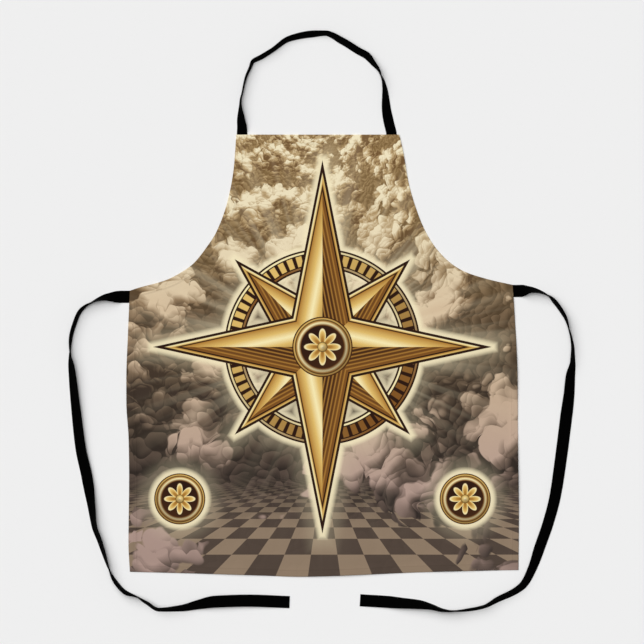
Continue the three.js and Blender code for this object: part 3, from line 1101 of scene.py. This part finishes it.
@dataclass(frozen=True)
class PolyesterTwill:
    """What the two sides of the cloth share: a matt surface with a fine weave."""

    specular: float = 0.12
    thread_pitch: float = 1.3
    weave_depth: float = 0.06
    weave_strength: float = 0.35

    def woven(self, name: str, roughness: float) -> tuple[Material, Tree, bpy.types.NodeInputs]:
        """Makes a material with the weave's bump: sin(2 pi x / pitch) * sin(2 pi y / pitch).

        Args:
            name: the material's name.
            roughness: its roughness.

        Returns:
            The material, its node tree and its shader's inputs.
        """
        # The threads lie about 0.4 mm apart, too fine to show, so they are drawn 1.3 mm apart
        material, tree, inputs = new_material(name, roughness, self.specular)
        turns = 2 * math.pi / (self.thread_pitch * MM)
        uv = add(tree, "UVMap", uv_map="Cut")
        phase = add(tree, "VectorMath MULTIPLY", uv, (turns, turns, 0))
        wave = add(tree, "SeparateXYZ", add(tree, "VectorMath SINE", phase))
        height = add(tree, "Math MULTIPLY", wave, wave.node.outputs["Y"])
        bump = add(
            tree, "Bump", self.weave_strength, self.weave_depth * MM, sockets={"Height": height}
        )
        tree.links.new(bump, inputs["Normal"])
        return material, tree, inputs


@dataclass(frozen=True)
class PrintedPolyester(PolyesterTwill):
    """Dye-sublimated polyester twill: flat, matt colour right in the cloth."""

    roughness: float = 0.85

    def build(self, picture: Tree) -> Material:
        """Makes the material of the cloth's face.

        Args:
            picture: the print's node group.

        Returns:
            The material.
        """
        # Dye pressed into the fibres gives the eye flat, matt colours with no shine of their own
        material, tree, inputs = self.woven("printed polyester twill", self.roughness)
        tree.links.new(add(tree, "Group", node_tree=picture), inputs["Base Color"])
        return material


@dataclass(frozen=True)
class PolyesterBack(PolyesterTwill):
    """The unprinted back of the same twill: off-white, with the print showing faintly through."""

    ground: str = "#e8e4da"
    show_through: float = 0.16
    roughness: float = 0.9

    def build(self, picture: Tree) -> Material:
        """Makes the material of the cloth's back.

        Args:
            picture: the print's node group.

        Returns:
            The material.
        """
        # Dye pressed into one side only leaves the back off-white, with a pale ghost of the print
        material, tree, inputs = self.woven("polyester twill back", self.roughness)
        colour = add(tree, "Group", node_tree=picture)
        ghost = add(tree, "Mix", self.show_through, srgb(self.ground), colour, **COLOURS)
        tree.links.new(ghost, inputs["Base Color"])
        return material


@dataclass(frozen=True)
class BlackWebbing:
    """Woven polypropylene webbing, black right through: matt, with close ribs across its run."""

    colour: str = "#020202"
    roughness: float = 0.92
    specular: float = 0.02
    rib_pitch: float = 1.8
    rib_depth: float = 0.25
    rib_strength: float = 0.6

    def build(self) -> Material:
        """Makes the material of the straps, whose ribs rise as sin(2 pi run / pitch).

        Returns:
            The material.
        """
        # Black polypropylene swallows nearly all light, and its weft ribs show only at an angle.
        # They lie about 0.9 mm apart, and are drawn 1.8 mm apart so that they show at all.
        material, tree, inputs = new_material(
            "black polypropylene webbing", self.roughness, self.specular, self.colour
        )
        run = add(tree, "SeparateXYZ", add(tree, "UVMap", uv_map="Run"))
        phase = add(tree, "Math MULTIPLY", run, 2 * math.pi / (self.rib_pitch * MM))
        rib = add(tree, "Math SINE", phase)
        bump = add(tree, "Bump", self.rib_strength, self.rib_depth * MM, sockets={"Height": rib})
        tree.links.new(bump, inputs["Normal"])
        return material


@dataclass(frozen=True)
class SewingThread:
    """Spun polyester sewing thread, off-white like the back of the cloth."""

    colour: str = "#d9d2c2"
    roughness: float = 0.75
    specular: float = 0.5

    def build(self) -> Material:
        """Makes the material of the stitches on the back."""
        # Spun thread is matt with a slight sheen along its length, too fine to show here
        return new_material("spun polyester thread", self.roughness, self.specular, self.colour)[0]


# Sub-assemblies


@dataclass
class PanelSizes:
    """The cloth panel's driving sizes, in millimetres, as the solids have them."""

    apron_length: float = 762
    bib_width: float = 281
    bib_height: float = 264
    waist_width: float = 660
    skirt_width: float = 670
    bib_shift: float = -11
    waist_shift: float = -5
    waist_skew: float = 10
    hem_sag: float = 10
    hem_skew: float = 3
    side_bow: float = 6
    cloth_thickness: float = 1
    hem_width: float = 12
    hem_thickness: float = 2
    hem_step: float = 2.5
    neck_strap_width: float = 18
    tie_width: float = 21
    webbing_thickness: float = 1.2
    sewn_length: float = 30
    left_foot_inset: float = 1
    right_foot_inset: float = 4.5
    neck_loop_rise: float = 173
    tie_reach: float = 103.5
    tie_return: float = 270
    tie_below_hem: float = 69
    strap_clearance: float = 0.3
    flat_lead: float = 10
    pad_margin: float = 24
    pad_fade: float = 34
    wave_height: float = 4
    wave_foot: float = 2

    @property
    def hem_inset(self) -> float:
        """Width of the hem with the slope inside it."""
        return self.hem_width + self.hem_step

    @property
    def hem_y(self) -> float:
        """Height of the hem's corners, before their skew."""
        return -(self.apron_length - self.hem_sag)


class Side:
    """One side of the panel: its corners, its armhole and the edge of its skirt."""

    def __init__(
        self,
        sizes: PanelSizes,
        to_centre: int,
        armhole: Sequence[ArmholeRow],
        skirt: Sequence[BowRow],
    ) -> None:
        """Places the corners and the two tracks.

        Args:
            sizes: the panel's sizes.
            to_centre: 1 on the left side and -1 on the right.
            armhole: the armhole's table.
            skirt: the table of the skirt's side.
        """
        self.to_centre = to_centre
        self.outwards = outwards = -to_centre
        self.bib = np.array([sizes.bib_shift + outwards * sizes.bib_width / 2, 0.0])
        self.waist = np.array(
            [
                sizes.waist_shift + outwards * sizes.waist_width / 2,
                -(sizes.bib_height - outwards * sizes.waist_skew / 2),
            ]
        )
        self.hem = np.array(
            [outwards * sizes.skirt_width / 2, sizes.hem_y + outwards * sizes.hem_skew / 2]
        )
        way_out = self.waist - self.bib
        self.armhole_track = Track(
            [(self.bib[0] + row.out * way_out[0], row.down * way_out[1]) for row in armhole]
        )
        bow = np.array([outwards * sizes.side_bow, 0.0])
        way_down = self.hem - self.waist
        self.skirt_track = Track([self.waist + row.down * way_down + row.bow * bow for row in skirt])

    def inward_normals(self, track: Track, distance: np.ndarray) -> np.ndarray:
        """Unit vectors into the cloth, square to a track.

        Args:
            track: the armhole's or the skirt's track.
            distance: distances along it.

        Returns:
            Rows of x and y.
        """
        run = track.run_at(distance)
        return np.column_stack((-run[:, 1], run[:, 0])) * self.to_centre


class Apron:
    """What the pieces share: the sizes, the two sides and the height of the cloth."""

    def __init__(self, outline_points: int = 400) -> None:
        """Sets up the sides, the strap ends and the part's place.

        Args:
            outline_points: how many points of each side find the cut's widest places.
        """
        self.sizes = sizes = PanelSizes()
        self.left = Side(sizes, 1, LEFT_ARMHOLE, LEFT_SIDE)
        self.right = Side(sizes, -1, RIGHT_ARMHOLE, RIGHT_SIDE)
        half_strap = sizes.neck_strap_width / 2
        self.left_foot = self.left.bib[0] + sizes.left_foot_inset + half_strap
        self.right_foot = self.right.bib[0] - sizes.right_foot_inset - half_strap
        # The bib's edge is the solid's highest Y, and the skirt's sides are its widest X
        low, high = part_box("panel")
        ends = []
        for track in (self.left.skirt_track, self.right.skirt_track):
            x = track.at(np.linspace(0, track.length, outline_points))[:, 0]
            ends += [x.min(), x.max()]
        middle = (low[0] + high[0]) / 2 / MM
        self.shift = np.array([middle - (min(ends) + max(ends)) / 2, high[1] / MM])

    def to_part(self, plan: np.ndarray, height: np.ndarray) -> np.ndarray:
        """Turns places on the cut and heights, in millimetres, into the part's metres.

        Args:
            plan: rows of x and y from the middle of the hem and the bib's edge.
            height: heights above the floor.

        Returns:
            Rows of x, y and z.
        """
        return np.column_stack((plan + self.shift, height)) * MM

    def underside(self, plan: np.ndarray) -> np.ndarray:
        """Height of the cloth's underside above the floor.

        It is the largest of the pads over the four sewn strap ends, each (t + c)(1 - smoothstep)
        of the distance outside the end's rectangle, plus the edge waves, each
        h (1 - smoothstep) of the distance from the wave's middle in its half sizes.

        Args:
            plan: rows of x and y on the cut, in millimetres.

        Returns:
            The heights in millimetres.
        """
        sizes = self.sizes
        half_sewn = sizes.sewn_length / 2
        x, y = plan[:, 0], plan[:, 1]
        sewn = [
            (foot, -half_sewn, sizes.neck_strap_width / 2, half_sewn)
            for foot in (self.left_foot, self.right_foot)
        ]
        half_tie = sizes.tie_width / 2
        for side in (self.left, self.right):
            middle_x, middle_y = side.waist + (side.to_centre * half_sewn, -half_tie)
            sewn.append((middle_x, middle_y, half_sewn, half_tie))
        height = np.zeros(len(plan))
        for middle_x, middle_y, half_x, half_y in sewn:
            outside = np.hypot(
                np.maximum(abs(x - middle_x) - half_x, 0), np.maximum(abs(y - middle_y) - half_y, 0)
            )
            pad = 1 - smoothstep(outside, sizes.pad_margin, sizes.pad_margin + sizes.pad_fade)
            height = np.maximum(height, (sizes.webbing_thickness + sizes.strap_clearance) * pad)
        across = x / (sizes.skirt_width / 2)
        down = (-y - sizes.bib_height) / (sizes.apron_length - sizes.bib_height)
        for wave in EDGE_WAVES:
            away = np.hypot((across - wave.across) / wave.wide, (down - wave.down) / wave.tall)
            height += sizes.wave_height * wave.height * (1 - smoothstep(away, 0, sizes.wave_foot))
        return height


class PanelRows(NamedTuple):
    """Rows of one side from the bib's edge to the hem.

    They are the outline's points, the vectors into the cloth, the distances from the bib's edge or
    the hem, whichever is nearer, and the shares of the way down the skirt.
    """

    points: np.ndarray
    inwards: np.ndarray
    off_end: np.ndarray
    down_skirt: np.ndarray


@dataclass
class Panel:
    """The cloth: one closed sheet with a turned hem, and the stitching along it."""

    apron: Apron
    cell: float = 4.6
    armhole_reach: float = 19.0
    skirt_reach: float = 23.0
    fold_rounding: float = 1.0
    stitch_line: float = 10.0
    groove_width: float = 0.7
    groove_depth: float = 0.25
    stitch_length: float = 2.4
    stitch_pitch: float = 3.2
    stitch_sections: tuple[float, ...] = (0.0, 0.2, 0.5, 0.8, 1.0)
    stitch_sides: int = 6
    stitch_rise: float = 0.12
    stitch_sink: float = 0.6
    thread_width: float = 0.45
    thread_ends: float = 0.35
    hem_offsets: tuple[float, ...] = (
        0, 0.12, 0.45, 1, 2.5, 4.5, 6.5, 8.4, 9.3, 10, 10.7, 11.4, 12, 13.2, 14.5,
    )

    def rows_of(self, side: Side) -> PanelRows:
        """The rows of one side, as many as on the left.

        Inward vectors are square to the edge, level at the bib's edge and at the hem, and turn to
        the mitre (a + b) / (1 + a . b) of the two edges' normals near the waist corner.

        Args:
            side: the side.

        Returns:
            The rows.
        """
        sizes, left = self.apron.sizes, self.apron.left
        inset = sizes.hem_inset
        offsets = np.array(self.hem_offsets)
        armhole, skirt = side.armhole_track, side.skirt_track
        armhole_count, skirt_count = (
            len(even_places(0, track.length - inset, self.cell))
            for track in (left.armhole_track, left.skirt_track)
        )
        upper = np.concatenate((offsets, np.linspace(inset, armhole.length, armhole_count)[1:]))
        lower = np.concatenate(
            (
                np.linspace(0, skirt.length - inset, skirt_count)[1:],
                skirt.length - offsets[::-1][1:],
            )
        )
        level = np.array([side.to_centre, 0.0])
        above = side.inward_normals(armhole, np.array([armhole.length]))[0]
        below = side.inward_normals(skirt, np.array([0.0]))[0]
        mitre = (above + below) / (1 + above @ below)
        upper_in = side.inward_normals(armhole, upper)
        lower_in = side.inward_normals(skirt, lower)
        start = np.clip(upper / sizes.hem_width, 0, 1)[:, None]
        upper_in = level * (1 - start) + upper_in * start
        turn = np.clip(1 - (armhole.length - upper) / self.armhole_reach, 0, 1)[:, None]
        upper_in = upper_in * (1 - turn) + mitre * turn
        turn = np.clip(1 - lower / self.skirt_reach, 0, 1)[:, None]
        lower_in = lower_in * (1 - turn) + mitre * turn
        end = smoothstep(skirt.length - lower, sizes.hem_width, inset)[:, None]
        lower_in = level * (1 - end) + lower_in * end
        return PanelRows(
            np.vstack((armhole.at(upper)[:, :2], skirt.at(lower)[:, :2])),
            np.vstack((upper_in, lower_in)),
            np.concatenate((upper, skirt.length - lower)),
            np.concatenate((np.zeros(len(upper)), lower / skirt.length)),
        )

    def grid(self) -> tuple[np.ndarray, np.ndarray, np.ndarray]:
        """Places of the sheet's vertices on the cut, row by row.

        The rows run straight from the left side's hem to the right side's, and the hem's sag
        grows down the skirt.

        Returns:
            The places (rows, columns, 2), the same mirrored out over the nearest edge, as a
            turned hem shows them, and the distance from the nearest edge.
        """
        sizes = self.apron.sizes
        inset = sizes.hem_inset
        offsets = np.array(self.hem_offsets)
        left, right = self.rows_of(self.apron.left), self.rows_of(self.apron.right)
        field_width = sizes.skirt_width - 2 * inset
        inner = (even_places(0, field_width, self.cell) / field_width)[1:-1, None]
        left_hem = left.points[:, None] + left.inwards[:, None] * offsets[:, None]
        right_hem = right.points[:, None] + right.inwards[:, None] * offsets[::-1, None]
        between = left_hem[:, -1:] * (1 - inner) + right_hem[:, :1] * inner
        plan = np.concatenate((left_hem, between, right_hem), axis=1)
        rows, columns = plan.shape[:2]
        hang = Track([(row.across * sizes.skirt_width, row.sag * sizes.hem_sag) for row in HEM_LINE])
        span = right.points[:, :1] - left.points[:, :1]
        share = np.clip((plan[:, :, 0] - left.points[:, :1]) / span, 0, 1)
        sag = hang.at(share.ravel() * hang.length)[:, 1].reshape(share.shape)
        plan[:, :, 1] -= smoothstep(left.down_skirt, 0, 1)[:, None] * sag

        # Past the hem's slope, all places count as equally far inside
        far_inside = inset + 1
        from_side = np.concatenate((offsets, np.full(columns - len(offsets), far_inside)))
        side_off = np.minimum(from_side, from_side[::-1])[None, :]
        row_off = np.minimum(left.off_end, far_inside)[:, None]
        on_left = (np.arange(columns) < columns / 2)[None, :, None]
        in_upper = (np.arange(rows) < rows / 2)[:, None, None]
        side_edge = np.where(on_left, plan[:, :1], plan[:, -1:])
        row_edge = np.where(in_upper, plan[:1], plan[-1:])
        nearest = np.where((side_off < row_off)[:, :, None], side_edge, row_edge)
        return plan, 2 * nearest - plan, np.minimum(side_off, row_off)

    def wall(self, off_edge: np.ndarray) -> tuple[np.ndarray, np.ndarray]:
        """Heights of the cloth's back and face above its underside.

        The wall w is the hem's thickness, and falls to the single cloth's over the slope inside
        it. Both faces meet half way up at the folded edge, at w (1 +- sqrt(1 - (1 - e)^2)) / 2,
        with e the distance from the edge in roundings, up to 1. A stitched groove is a Gaussian.

        Args:
            off_edge: distance from the nearest edge, in millimetres.

        Returns:
            The heights of the back and of the face, in millimetres.
        """
        sizes = self.apron.sizes
        fall = smoothstep(off_edge, sizes.hem_width, sizes.hem_inset)
        wall = sizes.hem_thickness * (1 - fall) + sizes.cloth_thickness * fall
        fullness = np.sqrt(1 - (1 - np.minimum(off_edge / self.fold_rounding, 1)) ** 2)
        off_line = (off_edge - self.stitch_line) / self.groove_width
        groove = self.groove_depth * np.exp(-(off_line**2))
        return wall / 2 * (1 - fullness) + groove, wall / 2 * (1 + fullness) - groove

    def build(self, face: Material, back: Material) -> tuple[bpy.types.Object, float]:
        """Makes the sheet as two grids that share their rim.

        Args:
            face: finish of the printed face and of the turned hem.
            back: finish of the back.

        Returns:
            The object, and the flat area of the cut in square metres.
        """
        plan, mirrored, off_edge = self.grid()
        flat = plan.reshape(-1, 2)
        base = self.apron.underside(flat).reshape(off_edge.shape)
        back_height, face_height = self.wall(off_edge)
        inside = np.zeros(off_edge.shape, bool)
        inside[1:-1, 1:-1] = True
        top = np.arange(off_edge.size).reshape(off_edge.shape)
        bottom = top.copy()
        bottom[inside] = off_edge.size + np.arange(np.count_nonzero(inside))
        points = np.vstack(
            (
                self.apron.to_part(flat, (base + face_height).ravel()),
                self.apron.to_part(plan[inside], (base + back_height)[inside]),
            )
        )
        top_faces, bottom_faces = quads(top), quads(bottom)[:, ::-1]
        # On the back, a cell that lies whole in the turned hem shows the print past the fold
        turned_hem = off_edge.ravel()[quads(top)].max(axis=1) <= self.apron.sizes.hem_width
        cut_middle = np.array([Cut.MIDDLE.value, Cut.TOP.value])
        face_uv = flat * MM + cut_middle
        hem_uv = mirrored.reshape(-1, 2) * MM + cut_middle
        corners = np.concatenate((top.ravel(), top[inside]))[bottom_faces]
        bottom_uv = np.where(turned_hem[:, None, None], hem_uv[corners], face_uv[corners])
        piece = make_mesh_object(
            "panel_cloth", points, np.vstack((top_faces, bottom_faces)), "Cut",
            np.vstack((face_uv[top_faces].reshape(-1, 2), bottom_uv.reshape(-1, 2))), [face, back],
            np.concatenate((np.zeros(len(top_faces)), ~turned_hem)),
        )
        ring = np.vstack((plan[0], plan[1:, -1], plan[-1, -2::-1], plan[-2:0:-1, 0]))
        following = np.roll(ring, -1, axis=0)
        area = abs(np.sum(ring[:, 0] * following[:, 1] - ring[:, 1] * following[:, 0])) / 2
        return piece, float(area) * MM * MM

    def stitches(self, name: str, on_face: bool, thread: Material) -> bpy.types.Object:
        """Stitches along the hem's four runs, each a short round bar that dips into the cloth.

        A bar's middle line rises as sin(pi s) and its radius is thread_width / 2 times
        (0.35 + 0.65 sin(pi s)), with s from 0 to 1 along it.

        Args:
            name: the object's name.
            on_face: True on the printed face, and False on the back.
            thread: the thread's finish.

        Returns:
            The object.
        """
        plan, _, _ = self.grid()
        at = self.hem_offsets.index(self.stitch_line)
        starts, ends = [], []
        for path in (plan[at:-at, at], plan[at:-at, -1 - at], plan[at, at:-at], plan[-1 - at, at:-at]):
            track = Track(path)
            first = np.arange(self.stitch_pitch, track.length - self.stitch_pitch, self.stitch_pitch)
            starts.append(track.at(first)[:, :2])
            ends.append(track.at(first + self.stitch_length)[:, :2])
        start, end = np.vstack(starts), np.vstack(ends)
        back_height, face_height = self.wall(np.array([self.stitch_line]))
        upwards, lift = (1, face_height[0]) if on_face else (-1, back_height[0])
        s = np.array(self.stitch_sections)
        swell = np.sin(np.pi * s)
        turn = np.arange(self.stitch_sides) / self.stitch_sides * 2 * np.pi
        along = end - start
        across = np.column_stack((-along[:, 1], along[:, 0]))
        across /= np.linalg.norm(across, axis=1, keepdims=True)
        radius = self.thread_width / 2 * (self.thread_ends + (1 - self.thread_ends) * swell)
        places = (
            start[:, None, None]
            + along[:, None, None] * s[None, :, None, None]
            + across[:, None, None] * (radius[:, None] * np.cos(turn))[None, :, :, None]
        ).reshape(-1, 2)
        rise = upwards * (swell - self.stitch_sink)[:, None] * self.stitch_rise
        rise = rise + radius[:, None] * np.sin(turn)
        height = self.apron.underside(places) + lift + np.tile(rise.ravel(), len(start))
        numbers = np.arange(len(places)).reshape(len(start), len(s), len(turn))
        sides, tips = bars(numbers, True)
        corners = np.concatenate((sides.ravel(), tips.ravel()))
        uvs = (places * MM + np.array([Cut.MIDDLE.value, Cut.TOP.value]))[corners]
        points = self.apron.to_part(places, np.maximum(height, 0.0))
        return make_mesh_object(name, points, sides, "Cut", uvs, [thread], ends=tips)


@dataclass
class Strap:
    """A strap of webbing, carried on edge or flat along its stations [x, y, lean, lift].

    Its inner side is 1 where the inside of the bend lies to the left of the run, and -1 where it
    lies to the right.
    """

    apron: Apron
    name: str
    stations: Sequence[Sequence[float]]
    width: float
    inner: int
    step: float = 2.5
    cup: float = 1.6
    flat_points: int = 7
    selvedge_angles: tuple[float, ...] = (60, 30, 0, -30, -60)

    @property
    def track(self) -> Track:
        """The strap's middle line, seen from above."""
        return Track(self.stations)

    def section(self) -> np.ndarray:
        """The webbing's section: flat faces and round selvedges.

        Returns:
            Rows of the share of the width and of the thickness, once round.
        """
        edge = 1 - self.apron.sizes.webbing_thickness / self.width
        flat = np.linspace(edge, -edge, self.flat_points)
        bend = np.radians(self.selvedge_angles)
        top = np.column_stack((flat, np.ones(len(flat))))
        left = np.column_stack((-edge - (1 - edge) * np.cos(bend), np.sin(bend)))
        return np.vstack((top, left, -top, -left)) / 2

    def build(self, webbing: Material) -> bpy.types.Object:
        """Carries the section along the track.

        With n the level vector into the bend and a the lean, a section's width lies along
        n cos a + Z sin a and its thickness along -n sin a + Z cos a, and its middle stands at
        (W |sin a| + t |cos a|) / 2 + lift, so that the lower selvedge touches the floor. Standing
        webbing is cupped: its middle gives way into the bend by cup sin a (1 - 4 u^2), with u the
        share of the width from -1/2 to 1/2.

        Args:
            webbing: the finish.

        Returns:
            The object.
        """
        thickness = self.apron.sizes.webbing_thickness
        track = self.track
        distance = even_places(0, track.length, self.step)
        x, y, lean, lift = track.at(distance).T
        run = track.run_at(distance)
        inwards = np.column_stack((-run[:, 1], run[:, 0], np.zeros(len(run)))) * self.inner
        turn = np.radians(lean)[:, None]
        upright = np.array([0.0, 0.0, 1.0])
        across = inwards * np.cos(turn) + upright * np.sin(turn)
        facing = -inwards * np.sin(turn) + upright * np.cos(turn)
        height = (self.width * abs(np.sin(turn)) + thickness * abs(np.cos(turn)))[:, 0] / 2 + lift
        section = self.section()
        give = self.cup * np.sin(turn) * (1 - 4 * section[None, :, 0] ** 2)
        points = (
            np.column_stack((x, y, height))[:, None]
            + across[:, None] * section[None, :, :1] * self.width
            + facing[:, None] * (section[None, :, 1:] * thickness - give[:, :, None])
        ).reshape(-1, 3)
        around = len(section)
        sides, tips = bars(np.arange(len(points)).reshape(-1, around), self.inner < 0)
        corners = np.concatenate((sides.ravel(), tips.ravel()))
        along_and_across = np.column_stack(
            (np.repeat(distance, around), np.tile(section[:, 0] * self.width, len(distance)))
        )
        placed = self.apron.to_part(points[:, :2], points[:, 2])
        uvs = (along_and_across * MM)[corners]
        return make_mesh_object(self.name, placed, sides, "Run", uvs, [webbing], ends=tips)


@dataclass
class Straps:
    """The neck strap and the two waist ties."""

    apron: Apron
    lead_lean: float = 16.0
    lead_slant: float = 1.8

    def neck(self) -> Strap:
        """The neck strap, from its left foot to its right foot.

        Returns:
            The strap.
        """
        apron, sizes = self.apron, self.apron.sizes
        left, right = apron.left_foot, apron.right_foot
        sewn, edge = -sizes.sewn_length, sizes.webbing_thickness
        stations = [
            (left, sewn, 0, 0), (left, edge, 0, 0), (left, sizes.flat_lead, self.lead_lean, 0),
        ]
        stations += [
            (
                (left + right) / 2 + row.across * (right - left) / 2,
                row.rise * sizes.neck_loop_rise, row.lean, 0,
            )
            for row in NECK_LOOP
        ]
        stations += [
            (right - self.lead_slant, sizes.flat_lead, self.lead_lean / 2, 0),
            (right, edge, 0, 0), (right, sewn, 0, 0),
        ]
        return Strap(apron, "neck_webbing", stations, sizes.neck_strap_width, -1)

    def tie(self, name: str, side: Side, rows: Sequence[TieRow]) -> Strap:
        """A waist tie, from its sewn end to its free end.

        Args:
            name: the piece's name.
            side: the side that it is sewn to.
            rows: its table.

        Returns:
            The strap.
        """
        sizes = self.apron.sizes
        corner_x, corner_y = side.waist
        drop = corner_y - side.hem[1] + sizes.tie_below_hem
        stations = [
            (corner_x + side.outwards * out, corner_y - sizes.tie_width / 2, 0, 0)
            for out in (-sizes.sewn_length, sizes.flat_lead)
        ]
        for row in rows:
            out = row.out * (sizes.tie_reach if row.out > 0 else sizes.tie_return)
            place = (corner_x + side.outwards * out, corner_y - row.down * drop)
            stations.append((*place, row.lean, row.lift * sizes.tie_width))
        return Strap(self.apron, name, stations, sizes.tie_width, side.to_centre)


# The studio


@dataclass(frozen=True)
class Softbox:
    """A broad distant light: its share of the light on a level floor, place and width.

    The height and the bearing are in degrees, the bearing anticlockwise from +X.
    """

    name: str
    share: float
    height: float
    bearing: float
    width: float

    def build(self) -> None:
        """Adds the light, with the strength that gives a level floor its share of white."""
        data = bpy.data.lights.new(self.name, "SUN")
        data.energy = self.share * math.pi / math.sin(math.radians(self.height))
        data.angle = math.radians(self.width)
        lamp = bpy.data.objects.new(self.name, data)
        # Turned from straight down to its height, then about Z to its bearing
        lamp.rotation_euler = (math.radians(90 - self.height), 0, math.radians(self.bearing + 90))
        bpy.context.scene.collection.objects.link(lamp)


@dataclass
class Studio:
    """The camera straight above the apron, the pale floor, and soft light from the upper left."""

    picture_width: float = 644 * 1.724 * MM
    lens: float = 400.0
    sensor: float = 36.0
    aim: tuple[float, float] = (0.0002, -0.0013)
    floor_colour: str = "#efefef"
    floor_size: float = 40.0
    floor_drop: float = 0.0003
    sky_share: float = 0.1
    softboxes: tuple[Softbox, ...] = (
        Softbox("overhead softbox", 0.42, 84.0, 135.0, 34.0),
        Softbox("upper left softbox", 0.48, 58.0, 135.0, 54.0),
    )

    def camera(self) -> None:
        """Places the camera: a long lens, so that what stands off the floor hardly shifts."""
        data = bpy.data.cameras.new("camera")
        data.lens = self.lens
        data.sensor_width = self.sensor
        distance = self.picture_width * self.lens / self.sensor
        data.clip_end = 10 * distance
        camera = bpy.data.objects.new("camera", data)
        camera.location = (*self.aim, distance)
        bpy.context.scene.collection.objects.link(camera)
        bpy.context.scene.camera = camera

    def floor(self) -> None:
        """Lays the floor a hair below the apron's underside."""
        half = self.floor_size / 2
        corners = [(-half, -half), (half, -half), (half, half), (-half, half)]
        mesh = bpy.data.meshes.new("floor")
        mesh.from_pydata([(x, y, -self.floor_drop) for x, y in corners], [], [(0, 1, 2, 3)])
        # A painted studio floor is matt and even
        mesh.materials.append(new_material("matt studio floor", 1.0, 0.0, self.floor_colour)[0])
        floor = bpy.data.objects.new("floor", mesh)
        bpy.context.scene.collection.objects.link(floor)

    def light(self) -> None:
        """Sets a faint white sky and the softboxes, whose shares add up to 1."""
        scene = bpy.context.scene
        scene.view_settings.view_transform = "Standard"
        scene.world = bpy.data.worlds.new("studio")
        scene.world.use_nodes = True
        background = scene.world.node_tree.nodes["Background"]
        background.inputs["Color"].default_value = (1, 1, 1, 1)
        background.inputs["Strength"].default_value = self.sky_share
        for softbox in self.softboxes:
            softbox.build()


def hand_over(piece: bpy.types.Object, node: str) -> None:
    """Rides a piece on the apron's body in place of a solid.

    Args:
        piece: the piece.
        node: the solid that it stands for, or an empty string for none.
    """
    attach(piece, BODY)
    if node:
        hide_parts(node)
    log.info("%s: %d faces", piece.name, len(piece.data.polygons))


def main() -> None:
    """Builds the studio and the apron, piece by piece."""
    logging.basicConfig(level=logging.INFO, format="%(message)s")
    studio = Studio()
    studio.camera()
    studio.floor()
    studio.light()

    apron = Apron()
    picture = PrintDesign().group()
    face = PrintedPolyester().build(picture)
    back = PolyesterBack().build(picture)
    webbing = BlackWebbing().build()

    panel = Panel(apron)
    cloth, area = panel.build(face, back)
    face_stitches = panel.stitches("hem_stitches_face", True, face)
    back_stitches = panel.stitches("hem_stitches_back", False, SewingThread().build())
    hand_over(cloth, "panel")
    hand_over(face_stitches, "")
    hand_over(back_stitches, "")
    log.info("panel's flat area: %.4f m2", area)

    straps = Straps(apron)
    for strap, node in (
        (straps.neck(), "neck_strap"),
        (straps.tie("left_tie_webbing", apron.left, LEFT_TIE), "waist_tie_left"),
        (straps.tie("right_tie_webbing", apron.right, RIGHT_TIE), "waist_tie_right"),
    ):
        piece = strap.build(webbing)
        hand_over(piece, node)


if __name__ == "__main__":
    main()
